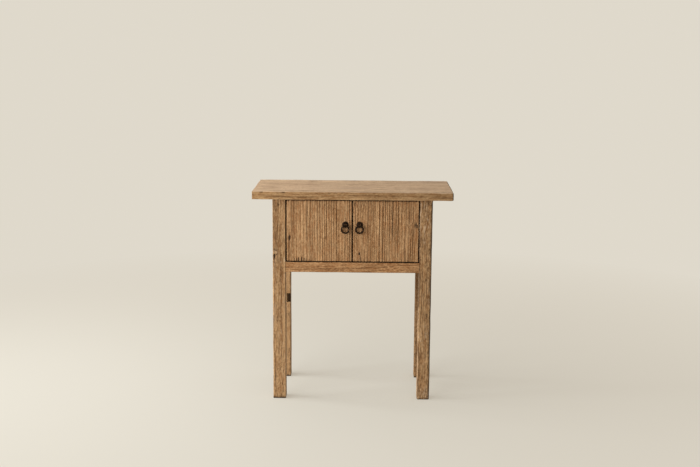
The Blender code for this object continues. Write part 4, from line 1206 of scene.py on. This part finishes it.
def make_floor():
    """A round pale floor: rings of points at growing distances, each ring carried round the middle."""
    reach = FLOOR_RADIUS * np.linspace(0.0, 1.0, FLOOR_RINGS + 1)[1:] ** FLOOR_GROWTH
    turn = np.linspace(0.0, 2 * math.pi, FLOOR_SPOKES, endpoint=False)
    spread, angle = np.meshgrid(reach, turn, indexing="ij")
    points = np.stack([spread * np.cos(angle), spread * np.sin(angle), np.zeros_like(spread)], axis=-1)
    floor = closed_grid("pale_floor", points, (np.zeros(3),))
    floor.data.flip_normals()
    material, tree, shader, place = new_material("pale_floor")
    seen = seen_directly(tree)
    pale = blend_colours(tree, cloudy(tree, place, 1.3, 3.0), FLOOR_CLOUDS, FLOOR_COLOUR)
    tree.links.new(blend_colours(tree, seen, FLOOR_BOUNCE, pale), shader.inputs["Base Color"])
    shader.inputs["Roughness"].default_value = 0.8
    shader.inputs["Specular IOR Level"].default_value = 0.0
    distance = node(tree, "VectorMath", {"operation": "LENGTH"}, Vector=place).outputs["Value"]
    far = ranged(tree, distance, FLOOR_NEAR, FLOOR_FAR)
    glow = node(tree, "Emission", Color=blend_colours(tree, far, FLOOR_GLOW, BACKGROUND))
    glow_share = ranged(tree, distance, FLOOR_NEAR, FLOOR_FAR, FLOOR_GLOW_NEAR, 1.0)
    mixed = node(tree, "MixShader", Fac=calculate(tree, "MULTIPLY", seen, glow_share))
    tree.links.new(shader.outputs["BSDF"], mixed.inputs[1])
    tree.links.new(glow.outputs["Emission"], mixed.inputs[2])
    tree.links.new(mixed.outputs["Shader"], tree.nodes["Material Output"].inputs["Surface"])
    floor.data.materials.append(material)


def add_lamp(name, place, size, power, colour):
    """A square soft lamp that faces the middle of the table."""
    lamp = bpy.data.lights.new(name, "AREA")
    lamp.shape = "SQUARE"
    lamp.size = size
    lamp.energy = power
    lamp.color = colour
    stand = bpy.data.objects.new(name, lamp)
    stand.location = place
    aim = np.array(LAMP_AIM) - np.array(place)
    yaw = math.atan2(aim[Y], aim[X]) - math.pi / 2
    tilt = math.atan2(math.hypot(aim[X], aim[Y]), -aim[Z])
    stand.rotation_euler = (tilt, 0.0, yaw)
    bpy.context.scene.collection.objects.link(stand)


def make_light():
    """A soft lamp from the left, a broad one from the front left, and a room brighter above and behind."""
    add_lamp("key", KEY_PLACE, KEY_SIZE, KEY_POWER, KEY_COLOUR)
    add_lamp("fill", FILL_PLACE, FILL_SIZE, FILL_POWER, FILL_COLOUR)
    world = bpy.data.worlds.new("pale_studio")
    world.use_nodes = True
    tree = world.node_tree
    towards = node(tree, "SeparateXYZ", Vector=node(tree, "TexCoord").outputs["Generated"]).outputs
    ambient = blend_colours(tree, ranged(tree, towards["X"], *LEFT_TO_RIGHT), AMBIENT_LEFT, AMBIENT_RIGHT)
    ambient = blend_colours(tree, ranged(tree, towards["Y"], *MIDDLE_TO_BACK), ambient, AMBIENT_BACK)
    ambient = blend_colours(tree, ranged(tree, towards["Z"], *LEVEL_TO_ABOVE), ambient, AMBIENT_ABOVE)
    colour = blend_colours(tree, seen_directly(tree), ambient, BACKGROUND)
    tree.links.new(colour, tree.nodes["Background"].inputs["Color"])
    bpy.context.scene.world = world
    bpy.context.scene.view_settings.view_transform = "Standard"


def make_camera():
    """The photograph's view: turned about the upright, tipped down, then rolled about the line of sight."""
    lens = bpy.data.cameras.new("camera")
    lens.sensor_width = SENSOR_WIDTH
    lens.lens = FOCAL_PIXELS * SENSOR_WIDTH / PICTURE_WIDTH
    camera = bpy.data.objects.new("camera", lens)
    turn = Matrix.Rotation(-CAMERA_YAW, 4, "Z") @ Matrix.Rotation(math.pi / 2 - CAMERA_PITCH, 4, "X")
    camera.matrix_world = Matrix.Translation(CAMERA_PLACE) @ turn @ Matrix.Rotation(-CAMERA_ROLL, 4, "Z")
    bpy.context.scene.collection.objects.link(camera)
    bpy.context.scene.camera = camera


IRON = forged_metal("dark_iron", srgb(42, 26, 11), srgb(25, 14, 5), srgb(64, 37, 14), 0.5, 0.48, 0.5)
make_camera()
make_light()
make_floor()
make_top()
make_legs()
make_rails()
make_panels()
make_doors()
for pull_number, pull_side in enumerate(SIDES):
    make_rosette(pull_side, 1200 + 40 * pull_number)
    make_eye(pull_side, 1210 + 40 * pull_number)
    make_ring(pull_side, 1220 + 40 * pull_number)
finish_fasteners()
